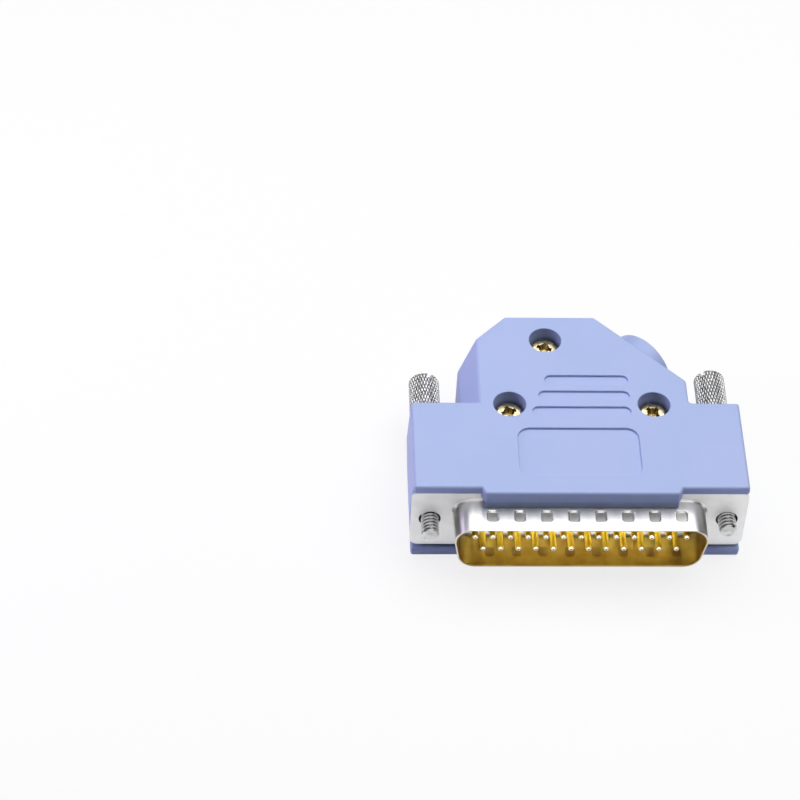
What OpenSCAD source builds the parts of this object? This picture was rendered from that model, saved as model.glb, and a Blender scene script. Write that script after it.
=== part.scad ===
// Cable plug of the D-sub family: 25 pins in a drawn D shell, closed in a two-part moulded
// hood with a slanted cable outlet and two captive thumbscrews.
// Millimetres. Origin at the centre of the flange's front face, +X along the flange,
// +Y back into the hood, +Z up towards the longer row of pins.

/* [Pins] */
// Spacing of the pins along a row
pin_pitch = 2.77; // [2.6:0.01:2.9]
// Spacing of the two rows
row_pitch = 2.84; // [2.6:0.01:3.1]
// Diameter of a pin
pin_d = 1; // [0.8:0.05:1.1]
// How far the pin tips stand ahead of the flange face
pin_reach = 5.08; // [4:0.02:5.6]
// Rounding at the tip of a pin
nose_r = 0.3; // [0.2:0.02:0.32]
// Diameter of the small hole in the tip of a pin
tip_hole_d = 0.3; // [0.15:0.01:0.34]
// Depth of the small hole in the tip of a pin
tip_hole_depth = 0.35; // [0.2:0.05:0.6]
// Diameter of the collar that locks a contact between the insulators
collar_d = 1.9; // [1.7:0.05:2.1]
// Length of the collar ahead of the split between the insulators
collar_front_l = 0.6; // [0.4:0.05:0.9]
// Length of the collar behind the split
collar_back_l = 0.8; // [0.5:0.05:1]
// Diameter of the solder cup
cup_d = 1.5; // [1.3:0.05:1.6]
// Bore of the solder cup
cup_bore = 1.05; // [0.8:0.05:1.1]
// How far the solder cups stand out behind the rear insulator
cup_reach = 4.6; // [3.5:0.1:5.5]
// Solid length of a solder cup behind the rear insulator
cup_root = 1; // [0.6:0.1:1.4]
// Height of the rim left at the bottom of the cup's open side
cup_rim = 0.3; // [0.1:0.05:0.6]

/* [Shell] */
// Thickness of the shell sheet
sheet = 0.4; // [0.3:0.05:0.5]
// From the last pin of the long row to the inside of the shell
shell_side = 2.86; // [2.7:0.02:3.1]
// From a row of pins to the inside of the shell
shell_over = 2.76; // [2.6:0.02:3]
// Depth of the D skirt ahead of the flange face
shell_depth = 6.1; // [5.7:0.1:6.6]
// Corner radius inside the shell
shell_corner = 2.6; // [2.2:0.1:2.9]
// Lean of the short sides of the D, in degrees
shell_lean = 10; // [6:0.5:14]
// Bend radius where a skirt meets its flange
bend_r = 0.5; // [0.3:0.05:0.6]
// Number of grounding dents on each long side
dent_count = 8; // [4:1:9]
// From the left end of the straight lower side to the middle of the first dent
dent_left = 2.36; // [0.66:0.02:3]
// From the right end of the straight lower side to the middle of the last dent
dent_right = 0.66; // [0.66:0.02:3]
// Width of a dent
dent_w = 1.8; // [1.2:0.1:2.2]
// Length of a dent along the skirt
dent_l = 2.3; // [1.6:0.1:2.8]
// Depth of a dent
dent_depth = 0.32; // [0.2:0.02:0.36]
// Corner radius of a dent
dent_corner = 0.6; // [0.45:0.05:0.6]
// From the rim of the skirt to the middle of the dents
dent_back = 2.85; // [2.4:0.05:3.2]
// From the inside of the shell to the middle of a thumbscrew hole
hole_side = 4.04; // [3.9:0.02:4.6]
// Diameter of the thumbscrew holes in the flange
hole_d = 3.5; // [3.2:0.1:3.6]
// From a thumbscrew hole to the end of the flange
ear = 3; // [2.8:0.05:3.6]
// From the inside of the shell to the long edge of the flange
flange_over = 2.095; // [1.95:0.005:2.4]
// Corner radius of the flange
flange_corner = 1.4; // [0.5:0.1:2]
// How much the rear shell is wider than the front one all round
rear_grow = 0.5; // [0.4:0.05:0.6]
// Depth of the rear shell behind its flange
rear_depth = 4.4; // [4:0.1:5]
// Width of a folded tab that holds the two shells together
tab_w = 2.4; // [1.6:0.1:2.6]
// Length of the part of a tab that is folded over
tab_fold = 1.4; // [1:0.1:1.5]
// From the inside of the shell to the middle of a tab
tab_side = 1.34; // [1.2:0.02:1.6]
// How much the rear flange is smaller than the front one all round
rear_flange_in = 0.3; // [0.1:0.05:0.5]
// How far the window of the rear shell is set in from the inside of the D
window_in = 1; // [0.8:0.05:1.1]

/* [Insulators] */
// How far the face of the front insulator lies behind the flange face
front_sunk = 0.35; // [0.2:0.05:0.6]
// Where the two insulators meet, behind the flange face
split_back = 2.6; // [2.2:0.1:3]
// How far the rear insulator stands out behind the rear shell
rear_reach = 1.4; // [0.8:0.1:2]

/* [Hood] */
// Wall of the hood above and below the flange
hood_over = 2.1; // [1.9:0.05:2.6]
// How far the hood's sides stand outside the flange at the parting line
hood_side = 0.13; // [0.05:0.01:0.4]
// How far each side leans in from the parting line to the flat face
hood_draft = 0.4; // [0.1:0.05:0.6]
// How far the wings stand ahead of the flange face
wing_front = 0.66; // [0.5:0.02:1]
// Where the wings end behind the flange face
wing_back = 17.26; // [16.4:0.02:18.4]
// Where the body ends behind the flange face
body_back = 36; // [35:0.1:38]
// Width of the body behind the wings
body_w = 36.4; // [35.6:0.1:38]
// Length of the left corner cut along each side
left_cut = 7.83; // [6:0.01:9]
// Length of the right corner cut along each side
right_cut = 13.95; // [13:0.01:14.6]
// Width of the slope on the left side of the body
slope_w = 2.9; // [1.5:0.1:3.4]
// Height of the slope on the left side of the body
slope_h = 4.75; // [3:0.05:5.5]
// Wall thickness
wall = 1.8; // [1.5:0.1:2]
// Thickness of the bulkhead behind the flange
bulkhead = 1.6; // [1.2:0.1:2]
// Radius in the corner between the right wing and the body
corner_r = 0.7; // [0.4:0.1:1.2]
// Width of the lip over the shell at its front
lip_w = 30.4; // [26:0.1:32]
// How much each end of the lip is wider at its root
lip_taper = 0.55; // [0.2:0.05:0.9]
// How far the lip stands ahead of the flange face
lip_front = 1.85; // [1.4:0.05:2.4]
// Height of the lip's front face
lip_face = 2.25; // [1.8:0.05:2.6]
// How far the rib under the lip stands back from the lip's front
rib_step = 0.2; // [0.1:0.05:0.4]
// Gap between that rib and the shell
rib_gap = 0.1; // [0.05:0.05:0.4]
// Gap between the long edges of the flange and the hood
flange_gap = 0.35; // [0.1:0.05:0.5]
// Wall between the wiring space and a thumbscrew channel
partition = 1.1; // [0.8:0.1:1.6]

/* [Grips and label] */
// Depth of the recesses in the top face
recess_depth = 0.4; // [0.2:0.05:0.7]
// Number of grip recesses
grip_count = 3; // [1:1:3]
// Spacing of the grip recesses
grip_pitch = 3.37; // [2.6:0.01:3.6]
// Width of a grip recess
grip_w = 1.96; // [1.2:0.02:2.2]
// Length of the shortest grip recess
grip_l = 13.4; // [9:0.1:14]
// How much longer each next grip recess is
grip_more = 1.15; // [0.4:0.05:1.4]
// From the middle of the body to the right ends of the grip recesses
grip_right = 8.77; // [7:0.01:8.9]
// From the rear of the wings to the rear edge of the shortest grip recess
grip_back = 5.82; // [5:0.02:6.6]
// Width of the label recess
label_w = 19.2; // [12:0.1:22]
// Length of the label recess
label_l = 10; // [6:0.1:10.8]
// From the flange face to the front of the label recess
label_front = 1.8; // [1:0.1:2.4]
// Corner radius of the label recess
label_corner = 2; // [0.5:0.1:3]

/* [Hood screws] */
// Thread diameter of the hood screws
screw_d = 2.6; // [2:0.1:2.8]
// Diameter of a screw head
head_d = 4.7; // [4.2:0.1:4.8]
// Height of a screw head
head_h = 1.75; // [1.2:0.05:2]
// Width of the cross recess in a screw head
cross_w = 0.7; // [0.5:0.05:0.8]
// Length of the cross recess as a share of the head's diameter
cross_share = 0.6; // [0.4:0.05:0.7]
// Depth of the cross recess
cross_depth = 1; // [0.5:0.05:1.1]
// Turn of the first screw's cross recess, in degrees
screw_turn = 20; // [0:5:90]
// Further turn of each next screw, in degrees
screw_turn_step = 25; // [0:5:90]
// Length of a hood screw under its head
screw_l = 11.7; // [10.4:0.1:11.9]
// Diameter of a screw well
well_d = 5.2; // [5:0.05:5.6]
// Depth of a screw well
well_depth = 3.7; // [3.4:0.1:4.8]
// Wall round a screw well
well_wall = 1; // [0.9:0.05:1.1]
// Width of a nut across its flats
nut_w = 5; // [4.6:0.1:5.2]
// Height of a nut
nut_h = 2; // [1.6:0.1:2.2]
// Depth of a nut pocket
nut_depth = 2.9; // [2.5:0.1:3.2]
// From the rear of the wings forward to the front pair of screws
screw_row = 0.4; // [0:0.05:1]
// From the left side of the body to the left screw
screw_left = 7.67; // [6.4:0.01:8.2]
// From the right side of the body to the right screw
screw_right = 5.62; // [5.4:0.01:6]
// From the rear of the body to the rear screw
screw_back = 5.2; // [5:0.05:6]
// From the right end of the rear edge to the rear screw, leftwards
screw_back_side = 8.3; // [7.5:0.05:9]

/* [Cable outlet] */
// Diameter of the collar of the cable outlet
outlet_d = 12; // [11.2:0.1:12.6]
// Diameter of the cable bore
outlet_bore = 9; // [8:0.1:9.4]
// How far the collar stands out of the slanted wall
outlet_reach = 4; // [3:0.1:5]
// From the middle of the slanted wall to the outlet, towards the rear
outlet_shift = 1.6; // [1:0.1:2]
// Inside radius of the clamp saddles
clamp_r = 3; // [2.6:0.1:3.2]
// Thickness of the clamp saddles
clamp_sheet = 1; // [0.7:0.1:1.1]
// Width of the clamp saddles along the cable
clamp_w = 2.6; // [2.2:0.1:2.8]
// Gap between the two saddles
clamp_gap = 1; // [0.6:0.1:1.4]
// Thread diameter of the clamp screws
clamp_screw_d = 2; // [1.6:0.1:2.1]
// Diameter of a clamp screw's head
clamp_head_d = 3.4; // [3:0.1:3.5]
// Height of a clamp screw's head
clamp_head_h = 1.3; // [1:0.1:1.6]
// How far a clamp screw stands out under the lower saddle
clamp_screw_out = 1.5; // [0.5:0.1:2]
// From the inside of the slanted wall to the clamp
clamp_back = 1.9; // [1.6:0.1:2]

/* [Thumbscrews] */
// Thread diameter of a thumbscrew
thumb_d = 2.84; // [2.6:0.02:2.9]
// Length of its thread
thumb_thread = 8; // [7:0.1:9]
// Chamfer at both ends of the thread
tip_chamfer = 0.45; // [0.2:0.05:0.6]
// Diameter of its plain shank
shank_d = 3.2; // [3:0.05:3.3]
// How far the tip stands ahead of the flange face at the front stop
thumb_reach = 3.85; // [3.4:0.05:4.3]
// Travel from the front stop to the rear stop
thumb_travel = 4.5; // [4:0.05:5]
// How far the left thumbscrew rests behind its front stop
left_rest = 0.45; // [0:0.05:1.5]
// How far the right thumbscrew rests behind its front stop
right_rest = 1.35; // [0:0.05:1.5]
// Diameter of the knurled head
knob_d = 5; // [4.5:0.05:5.2]
// Length of the knurled head
knob_l = 11.4; // [9.5:0.1:12]
// Chamfer at the ends of the knurled head
knob_chamfer = 0.5; // [0.2:0.05:0.7]
// Width of the slot in the end of the head
slot_w = 0.9; // [0.6:0.05:1.1]
// Depth of the slot
slot_depth = 1.2; // [0.8:0.05:1.6]
// Turn of the left head's slot from upright, in degrees
left_turn = 23; // [-90:1:90]
// Turn of the right head's slot from upright, in degrees
right_turn = -37; // [-90:1:90]
// Outside diameter of a retaining ring
ring_d = 4.4; // [4:0.05:4.5]
// Thickness of a retaining ring
ring_h = 0.6; // [0.5:0.05:0.8]
// Diameter of the groove that holds a retaining ring
groove_d = 2; // [1.8:0.05:2.2]

/* [Clearances] */
// Gap between pieces that fit into each other
fit_gap = 0.1; // [0.05:0.01:0.12]
// Gap round a screw, contact or shank in its hole
hole_gap = 0.15; // [0.08:0.01:0.18]
// Gap left at the thumbscrew stops
stop_gap = 0.1; // [0.05:0.01:0.15]

/* [Hidden] */
$fn = 48;
long_row = 13;
short_row = 12;
contact_count = long_row + short_row;
// Extra length of a cutting tool past the face that it opens
past = 1;
// Turn of the slanted corners and of the cable outlet, in degrees
slant = 45;
// Turn that puts a flat of a nut to the front, in degrees
nut_turn = 30;

// Shell and flange
shell_w = (long_row - 1) * pin_pitch + 2 * shell_side;
shell_h = row_pitch + 2 * shell_over;
corner_z = shell_h / 2 - shell_corner;
top_x = shell_w / 2 - shell_corner;
low_x = top_x - 2 * corner_z * tan(shell_lean);
hole_x = shell_w / 2 + hole_side;
flange_w = 2 * (hole_x + ear);
flange_h = shell_h + 2 * flange_over;
flange_back = 2 * sheet;
rear_end = flange_back + rear_depth;
// Where a bend leaves its skirt, counted out from the inside of the skirt
bend_out = sheet + bend_r;
dent_pitch = (2 * low_x - dent_left - dent_right) / (dent_count - 1);
tab_x = shell_w / 2 + tab_side;
tab_back = flange_back + sheet;

// Insulators and contacts
shoulder_grow = rear_grow - fit_gap;
shoulder_front = sheet + fit_gap;
insulator_end = rear_end + rear_reach;
collar_front = split_back - collar_front_l;
collar_back = split_back + collar_back_l;
cup_end = insulator_end + cup_reach;
cup_floor = insulator_end + cup_root;
cup_open = cup_floor + cup_rim;

// Hood
half_h = flange_h / 2 + hood_over;
part_x = flange_w / 2 + hood_side;
face_x = part_x - hood_draft;
groove_z = flange_h / 2 + flange_gap;
roof_z = half_h - wall;
front_cut_end = flange_back + fit_gap;
bulkhead_end = front_cut_end + bulkhead;
window_x = shell_w / 2 + rear_grow + sheet + fit_gap;
window_z = shell_h / 2 + rear_grow + sheet + fit_gap;
pocket_end = rear_end + fit_gap;
channel_r = ring_d / 2 + hole_gap;
bay_x = hole_x - channel_r - partition;
wing_inner = wing_back - wall;
rib_front = lip_front - rib_step;
rib_low = shell_h / 2 + bend_out + rib_gap;
skirt_low = shell_h / 2 + sheet + rib_gap;
skirt_back = bend_r + rib_gap;
lean = atan(slope_w / slope_h);

// Hood screws: left, right, back
screw_spots = [
    [screw_left - body_w / 2, wing_back - screw_row],
    [body_w / 2 - screw_right, wing_back - screw_row],
    [body_w / 2 - right_cut - screw_back_side, body_back - screw_back],
];
well_floor = half_h - well_depth;
nut_seat = nut_depth - half_h;
boss_r = well_d / 2 + well_wall;

// Cable outlet: in its own frame, x points out of the slanted wall
outlet_spot = [body_w / 2 - right_cut / 2 - outlet_shift * cos(slant),
               body_back - right_cut / 2 + outlet_shift * cos(slant), 0];
clamp_x = -wall - clamp_back - clamp_w;
clamp_out = clamp_r + clamp_sheet;
clamp_screw_y = clamp_out + clamp_head_d / 2 + fit_gap;
clamp_end = clamp_screw_y + clamp_head_d / 2;
clamp_seat = clamp_gap / 2 + clamp_sheet;
clamp_screw_l = clamp_gap + 2 * clamp_sheet + clamp_screw_out;

// Thumbscrews, counted from the tip
knob_start = thumb_reach + wing_back + stop_gap;
ring_back = thumb_reach + wing_inner - stop_gap - thumb_travel;
thumb_end = knob_start + knob_l;

CONTACTS = [for (i = [1:contact_count]) str("contact_", i < 10 ? "0" : "", i)];

// Extrudes a drawing of X and Z along Y, from y0 to y1
module along_y(y0, y1) {
    translate([0, y1, 0]) rotate([90, 0, 0]) linear_extrude(y1 - y0) children();
}

// Turns a piece that is built along Z so that it runs along Y
module on_y() {
    rotate([-90, 0, 0]) children();
}

// Box between two corners
module box(low, high) {
    translate(low) cube(high - low);
}

// Rectangle with round corners, centred
module round_rect(w, h, r) {
    square([w - 2 * r, h], center = true);
    square([w, h - 2 * r], center = true);
    for (x = [-1, 1], y = [-1, 1]) translate([x * (w / 2 - r), y * (h / 2 - r)]) circle(r);
}

// Slot with round ends, centred, along X
module pill(l, w) {
    square([l - w, w], center = true);
    for (m = [-1, 1]) translate([m * (l - w) / 2, 0]) circle(d = w);
}

// Outline of the D inside the front shell, grown outwards all round
module d_outline(grow) {
    r = shell_corner + grow;
    side = [r * cos(shell_lean), r * sin(shell_lean)];
    for (m = [-1, 1]) {
        translate([m * top_x, corner_z]) circle(r);
        translate([m * low_x, -corner_z]) circle(r);
    }
    polygon([
        [-top_x, corner_z + r], [top_x, corner_z + r],
        [top_x + side.x, corner_z - side.y], [low_x + side.x, -corner_z - side.y],
        [low_x, -corner_z - r], [-low_x, -corner_z - r],
        [-low_x - side.x, -corner_z - side.y], [-top_x - side.x, corner_z - side.y],
    ]);
}

// Sweeps a section round the D: x counts outwards from its inside, y ahead of the flange face
module d_sweep() {
    wide = 90 + shell_lean;
    tight = 90 - shell_lean;
    side_l = 2 * corner_z / cos(shell_lean);
    corners = [[top_x, corner_z, -shell_lean, wide], [-top_x, corner_z, 90, wide],
               [-low_x, -corner_z, 90 + wide, tight], [low_x, -corner_z, -90, tight]];
    sides = [[-top_x, corner_z, 90, 2 * top_x], [top_x, corner_z, -shell_lean, side_l],
             [low_x, -corner_z, -90, 2 * low_x], [-low_x, -corner_z, 90 + wide, side_l]];
    rotate([90, 0, 0]) {
        for (c = corners) translate([c[0], c[1], 0]) rotate([0, 0, c[2]])
            rotate_extrude(angle = c[3]) translate([shell_corner, 0]) children();
        for (s = sides) translate([s[0], s[1], 0]) rotate([0, 0, s[2]]) rotate([90, 0, 0])
            linear_extrude(s[3]) translate([shell_corner, 0]) children();
    }
}

// Section of a skirt that bends out into its flange
module skirt_section(grow, depth) {
    translate([grow, bend_r]) square([sheet, depth - bend_r]);
    translate([grow + bend_out, bend_r]) intersection() {
        difference() {
            circle(bend_out);
            circle(bend_r);
        }
        translate([-bend_out, -bend_out]) square(bend_out);
    }
}

// Flange plate with its D opening and thumbscrew holes, from its front face back
module flange_plate(grow, inset) {
    along_y(0, sheet) difference() {
        round_rect(flange_w - 2 * inset, flange_h - 2 * inset, flange_corner);
        d_outline(grow + bend_out);
        for (m = [-1, 1]) translate([m * hole_x, 0]) circle(d = hole_d);
    }
}

// Places its children at the four folded tabs, upper edge first
module at_tabs() {
    for (x = [-1, 1], z = [0, 1]) mirror([0, 0, z]) translate([x * tab_x, 0, 0]) children();
}

// Drawn front shell: D skirt, flange, dents for the mating shell, folded tabs
module front_shell() {
    dent_y = dent_back - shell_depth;
    color("gainsboro") {
        difference() {
            union() {
                d_sweep() skirt_section(0, shell_depth);
                flange_plate(0, 0);
                at_dents(dent_y) linear_extrude(dent_depth + sheet / 2)
                    round_rect(dent_w, dent_l, dent_corner);
            }
            at_dents(dent_y) translate([0, 0, -sheet - past]) linear_extrude(dent_depth + sheet + past)
                round_rect(dent_w - 2 * sheet, dent_l - 2 * sheet, dent_corner - sheet);
        }
        at_tabs() {
            box([-tab_w / 2, sheet / 2, flange_h / 2 - sheet], [tab_w / 2, tab_back, flange_h / 2]);
            box([-tab_w / 2, flange_back, flange_h / 2 - tab_fold], [tab_w / 2, tab_back, flange_h / 2]);
        }
    }
}

// Places its children at the dents, with their z pointing in from the shell's inner wall
module at_dents(y) {
    for (m = [0, 1], i = [0:dent_count - 1]) mirror([0, 0, m])
        translate([dent_left - low_x + i * dent_pitch, y, shell_h / 2]) mirror([0, 0, 1]) children();
}

// Drawn rear shell: shorter cup with a window for the rear insulator
module rear_shell() {
    color("silver") difference() {
        translate([0, flange_back, 0]) mirror([0, 1, 0]) {
            d_sweep() {
                skirt_section(rear_grow, rear_depth);
                translate([-window_in, rear_depth - sheet]) square([window_in + rear_grow, sheet]);
            }
            flange_plate(rear_grow, rear_flange_in);
        }
        at_tabs() box([-tab_w / 2 - fit_gap, 0, flange_h / 2 - sheet - fit_gap],
                      [tab_w / 2 + fit_gap, tab_back, flange_h / 2]);
    }
}

// Place of a contact in the plane of the flange, as [x, z]
function contact_spot(i) = i < long_row
    ? [(i - (long_row - 1) / 2) * pin_pitch, row_pitch / 2]
    : [(i - long_row - (short_row - 1) / 2) * pin_pitch, -row_pitch / 2];

// Holes for the contacts in an insulator, all of one diameter
module contact_holes(d, y0, y1) {
    along_y(y0, y1) for (i = [0:contact_count - 1]) translate(contact_spot(i)) circle(d = d);
}

// Front insulator: fills the D and carries the pins
module front_insulator() {
    color("whitesmoke") difference() {
        union() {
            along_y(front_sunk, split_back) d_outline(-fit_gap);
            along_y(shoulder_front, split_back) d_outline(shoulder_grow);
        }
        contact_holes(pin_d + 2 * fit_gap, front_sunk - past, split_back);
        contact_holes(collar_d + 2 * fit_gap, collar_front - fit_gap, split_back + past);
    }
}

// Rear insulator: locks the contacts and stands out of the rear shell
module rear_insulator() {
    color("whitesmoke") difference() {
        union() {
            along_y(split_back, rear_end - sheet - fit_gap) d_outline(shoulder_grow);
            along_y(split_back, insulator_end) d_outline(-window_in - fit_gap);
        }
        contact_holes(cup_d + 2 * fit_gap, split_back - past, insulator_end + past);
        contact_holes(collar_d + 2 * fit_gap, split_back - past, collar_back + fit_gap);
    }
}

// One contact: round-nosed pin, locking collar and solder cup that opens away from the other row
module contact(i) {
    spot = contact_spot(i);
    upper = i < long_row;
    flat = pin_d / 2 - nose_r;
    color("gold") translate([spot[0], 0, spot[1]]) rotate([0, upper ? 0 : 180, 0]) on_y() difference() {
        rotate_extrude() {
            translate([0, -pin_reach]) square([flat, nose_r]);
            translate([flat, nose_r - pin_reach]) intersection() {
                circle(nose_r);
                translate([0, -nose_r]) square(nose_r);
            }
            translate([0, nose_r - pin_reach]) square([pin_d / 2, collar_front + pin_reach - nose_r]);
            translate([0, collar_front]) square([collar_d / 2, collar_back - collar_front]);
            translate([0, collar_back]) square([cup_d / 2, cup_end - collar_back]);
        }
        translate([0, 0, -pin_reach - past]) cylinder(d = tip_hole_d, h = tip_hole_depth + past);
        translate([0, 0, cup_floor]) cylinder(d = cup_bore, h = cup_end - cup_floor + past);
        translate([-cup_d, -cup_d, cup_open]) cube([2 * cup_d, cup_d, cup_end - cup_open + past]);
    }
}

// Plan of the body behind the wings, set in all round
function body_plan(inset, front) = let (
        x = body_w / 2 - inset,
        y = body_back - inset,
        corner = inset * tan(slant / 2)
    ) [
        [-x, front], [-x, body_back - left_cut - corner],
        [left_cut + corner - body_w / 2, y], [body_w / 2 - right_cut - corner, y],
        [x, body_back - right_cut - corner], [x, front],
    ];

// Upper half of the section across the body, with the slope on its left, set in all round
function body_section(inset) = let (
        x = body_w / 2 - inset,
        z = half_h - inset
    ) [
        [-x, 0], [-x, half_h - slope_h - inset * tan(lean / 2)],
        [slope_w - body_w / 2 + inset * tan((90 - lean) / 2), z], [x, z], [x, 0],
    ];

// Upper half of the body, solid, set in all round
module body_block(inset, front) {
    intersection() {
        linear_extrude(half_h) polygon(body_plan(inset, front));
        along_y(front, body_back) polygon(body_section(inset));
    }
}

// Places its children in the outlet's frame, x pointing out of the slanted wall
module at_outlet() {
    translate(outlet_spot) rotate([0, 0, slant]) children();
}

// Places its children on both thumbscrew axes
module at_thumbscrews() {
    for (m = [-1, 1]) translate([m * hole_x, 0, 0]) children();
}

// Places its children at the three hood screws
module at_hood_screws() {
    for (spot = screw_spots) translate([spot[0], spot[1], 0]) children();
}

// Outside of the upper half of the hood, solid
module hood_solid() {
    along_y(-wing_front, wing_back) polygon([[-part_x, 0], [-face_x, half_h], [face_x, half_h], [part_x, 0]]);
    body_block(0, wing_inner);
    translate([body_w / 2, wing_back, 0]) linear_extrude(half_h) difference() {
        square(corner_r);
        translate([corner_r, corner_r]) circle(corner_r);
    }
    at_outlet() rotate([0, 90, 0]) translate([0, 0, -wall])
        rotate([0, 0, 90]) rotate_extrude(angle = 180) square([outlet_d / 2, wall + outlet_reach]);
}

// Space inside the upper half of the hood
module hood_hollow() {
    box([-part_x - past, -wing_front - past, -past], [part_x + past, front_cut_end, groove_z]);
    box([-window_x, 0, -past], [window_x, pocket_end, window_z]);
    box([-bay_x, pocket_end - fit_gap, -past], [bay_x, wing_inner, roof_z]);
    body_block(wall, wing_inner - wall);
    at_tabs() box([-tab_w / 2 - fit_gap, 0, flange_h / 2 - tab_fold - fit_gap],
                  [tab_w / 2 + fit_gap, tab_back + fit_gap, groove_z]);
    at_thumbscrews() on_y() {
        cylinder(d = shank_d + 2 * hole_gap, h = wing_back + past);
        translate([0, 0, bulkhead_end]) cylinder(r = channel_r, h = wing_inner - bulkhead_end);
    }
    at_outlet() rotate([0, 90, 0]) translate([0, 0, -wall - past])
        cylinder(d = outlet_bore, h = wall + outlet_reach + 2 * past);
}

// Plan of the lip, tapered from its root in the wings' front to its own front
function lip_plan() = let (
        root = lip_w / 2 + lip_taper,
        tip = lip_w / 2
    ) [
        [-root, -fit_gap], [-root, -wing_front], [-tip, -lip_front],
        [tip, -lip_front], [root, -wing_front], [root, -fit_gap],
    ];

// Upper half of the hood with what both halves share: walls, lip and hollow screw posts
module hood_half() {
    difference() {
        union() {
            difference() {
                hood_solid();
                hood_hollow();
            }
            translate([0, 0, half_h - lip_face]) linear_extrude(lip_face) polygon(lip_plan());
            box([-lip_w / 2, -rib_front, rib_low], [lip_w / 2, -fit_gap, half_h - lip_face / 2]);
            box([-lip_w / 2, -rib_front, skirt_low], [lip_w / 2, -skirt_back, half_h - lip_face / 2]);
            at_hood_screws() cylinder(r = boss_r, h = half_h - wall / 2);
        }
        at_hood_screws() translate([0, 0, -past]) cylinder(d = screw_d + 2 * hole_gap, h = half_h);
    }
}

// Upper half of the hood: screw wells, grip recesses and label recess
module hood_top() {
    color("#b2c2eb") difference() {
        hood_half();
        at_hood_screws() translate([0, 0, well_floor]) cylinder(d = well_d, h = well_depth + past);
        translate([0, 0, half_h - recess_depth]) linear_extrude(recess_depth + past) {
            translate([0, label_front + label_l / 2]) round_rect(label_w, label_l, label_corner);
            for (i = [0:grip_count - 1]) {
                length = grip_l + i * grip_more;
                translate([grip_right - length / 2, wing_back + grip_back - grip_w / 2 - i * grip_pitch])
                    pill(length, grip_w);
            }
        }
    }
}

// Lower half of the hood: nut pockets and the seats of the cable clamp
module hood_bottom() {
    post_low = [clamp_x - fit_gap, clamp_out + fit_gap, clamp_seat];
    post_high = [clamp_x + clamp_w + fit_gap, clamp_end, half_h - wall / 2];
    color("#a9badf") mirror([0, 0, 1]) difference() {
        union() {
            hood_half();
            at_outlet() for (m = [0, 1]) mirror([0, m, 0]) box(post_low, post_high);
        }
        at_hood_screws() translate([0, 0, -nut_seat]) rotate([0, 0, nut_turn])
            cylinder(d = (nut_w + 2 * fit_gap) / cos(nut_turn), h = nut_depth + past, $fn = 6);
        at_outlet() for (m = [-1, 1]) translate([clamp_x + clamp_w / 2, m * clamp_screw_y, 0])
            cylinder(d = clamp_screw_d + 2 * hole_gap, h = clamp_seat + clamp_screw_l);
    }
}

// Pan-head screw with a cross recess, its seat at z = 0, pointing down
module pan_screw(d, length, dia_head, height) {
    round = height / 2;
    difference() {
        union() {
            translate([0, 0, -length]) cylinder(d = d, h = length + height / 2);
            rotate_extrude() {
                square([dia_head / 2 - round, height]);
                square([dia_head / 2, height - round]);
                translate([dia_head / 2 - round, height - round]) intersection() {
                    circle(round);
                    square(round);
                }
            }
        }
        for (turn = [0, 90]) rotate([0, 0, turn]) translate([0, 0, height - cross_depth / 2 + past / 2])
            cube([cross_share * dia_head, cross_w, cross_depth + past], center = true);
    }
}

// One of the three screws that hold the hood halves together
module hood_screw(i) {
    color("silver") translate([screw_spots[i][0], screw_spots[i][1], well_floor])
        rotate([0, 0, screw_turn + screw_turn_step * i]) pan_screw(screw_d, screw_l, head_d, head_h);
}

// One of the three hex nuts in the lower half of the hood
module hood_nut(i) {
    color("silver") translate([screw_spots[i][0], screw_spots[i][1], nut_seat - nut_h])
        rotate([0, 0, nut_turn]) difference() {
            cylinder(d = nut_w / cos(nut_turn), h = nut_h, $fn = 6);
            translate([0, 0, -past]) cylinder(d = screw_d + 2 * fit_gap, h = nut_h + 2 * past);
        }
}

// Captive thumbscrew along Y: thread, shank with a ring groove, slotted head
module thumbscrew(side, rest, turn) {
    groove_start = ring_back - ring_h - fit_gap;
    groove_end = ring_back + fit_gap;
    color("silver") translate([side * hole_x, rest - thumb_reach, 0]) on_y() difference() {
        rotate_extrude() polygon([
            [0, 0], [thumb_d / 2 - tip_chamfer, 0], [thumb_d / 2, tip_chamfer],
            [thumb_d / 2, thumb_thread], [shank_d / 2, thumb_thread + tip_chamfer],
            [shank_d / 2, groove_start], [groove_d / 2, groove_start],
            [groove_d / 2, groove_end], [shank_d / 2, groove_end], [shank_d / 2, knob_start],
            [knob_d / 2 - knob_chamfer, knob_start], [knob_d / 2, knob_start + knob_chamfer],
            [knob_d / 2, thumb_end - knob_chamfer], [knob_d / 2 - knob_chamfer, thumb_end], [0, thumb_end],
        ]);
        rotate([0, 0, turn]) translate([0, 0, thumb_end - slot_depth / 2 + past / 2])
            cube([slot_w, knob_d + past, slot_depth + past], center = true);
    }
}

// Open retaining ring in the groove of a thumbscrew, opening downwards
module ring(side, rest) {
    hole = groove_d + fit_gap;
    mouth = groove_d - 2 * fit_gap;
    color("dimgray") translate([side * hole_x, rest - thumb_reach + ring_back - ring_h, 0]) on_y()
        linear_extrude(ring_h) difference() {
            circle(d = ring_d);
            circle(d = hole);
            translate([-mouth / 2, 0]) square([mouth, ring_d]);
        }
}

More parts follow.
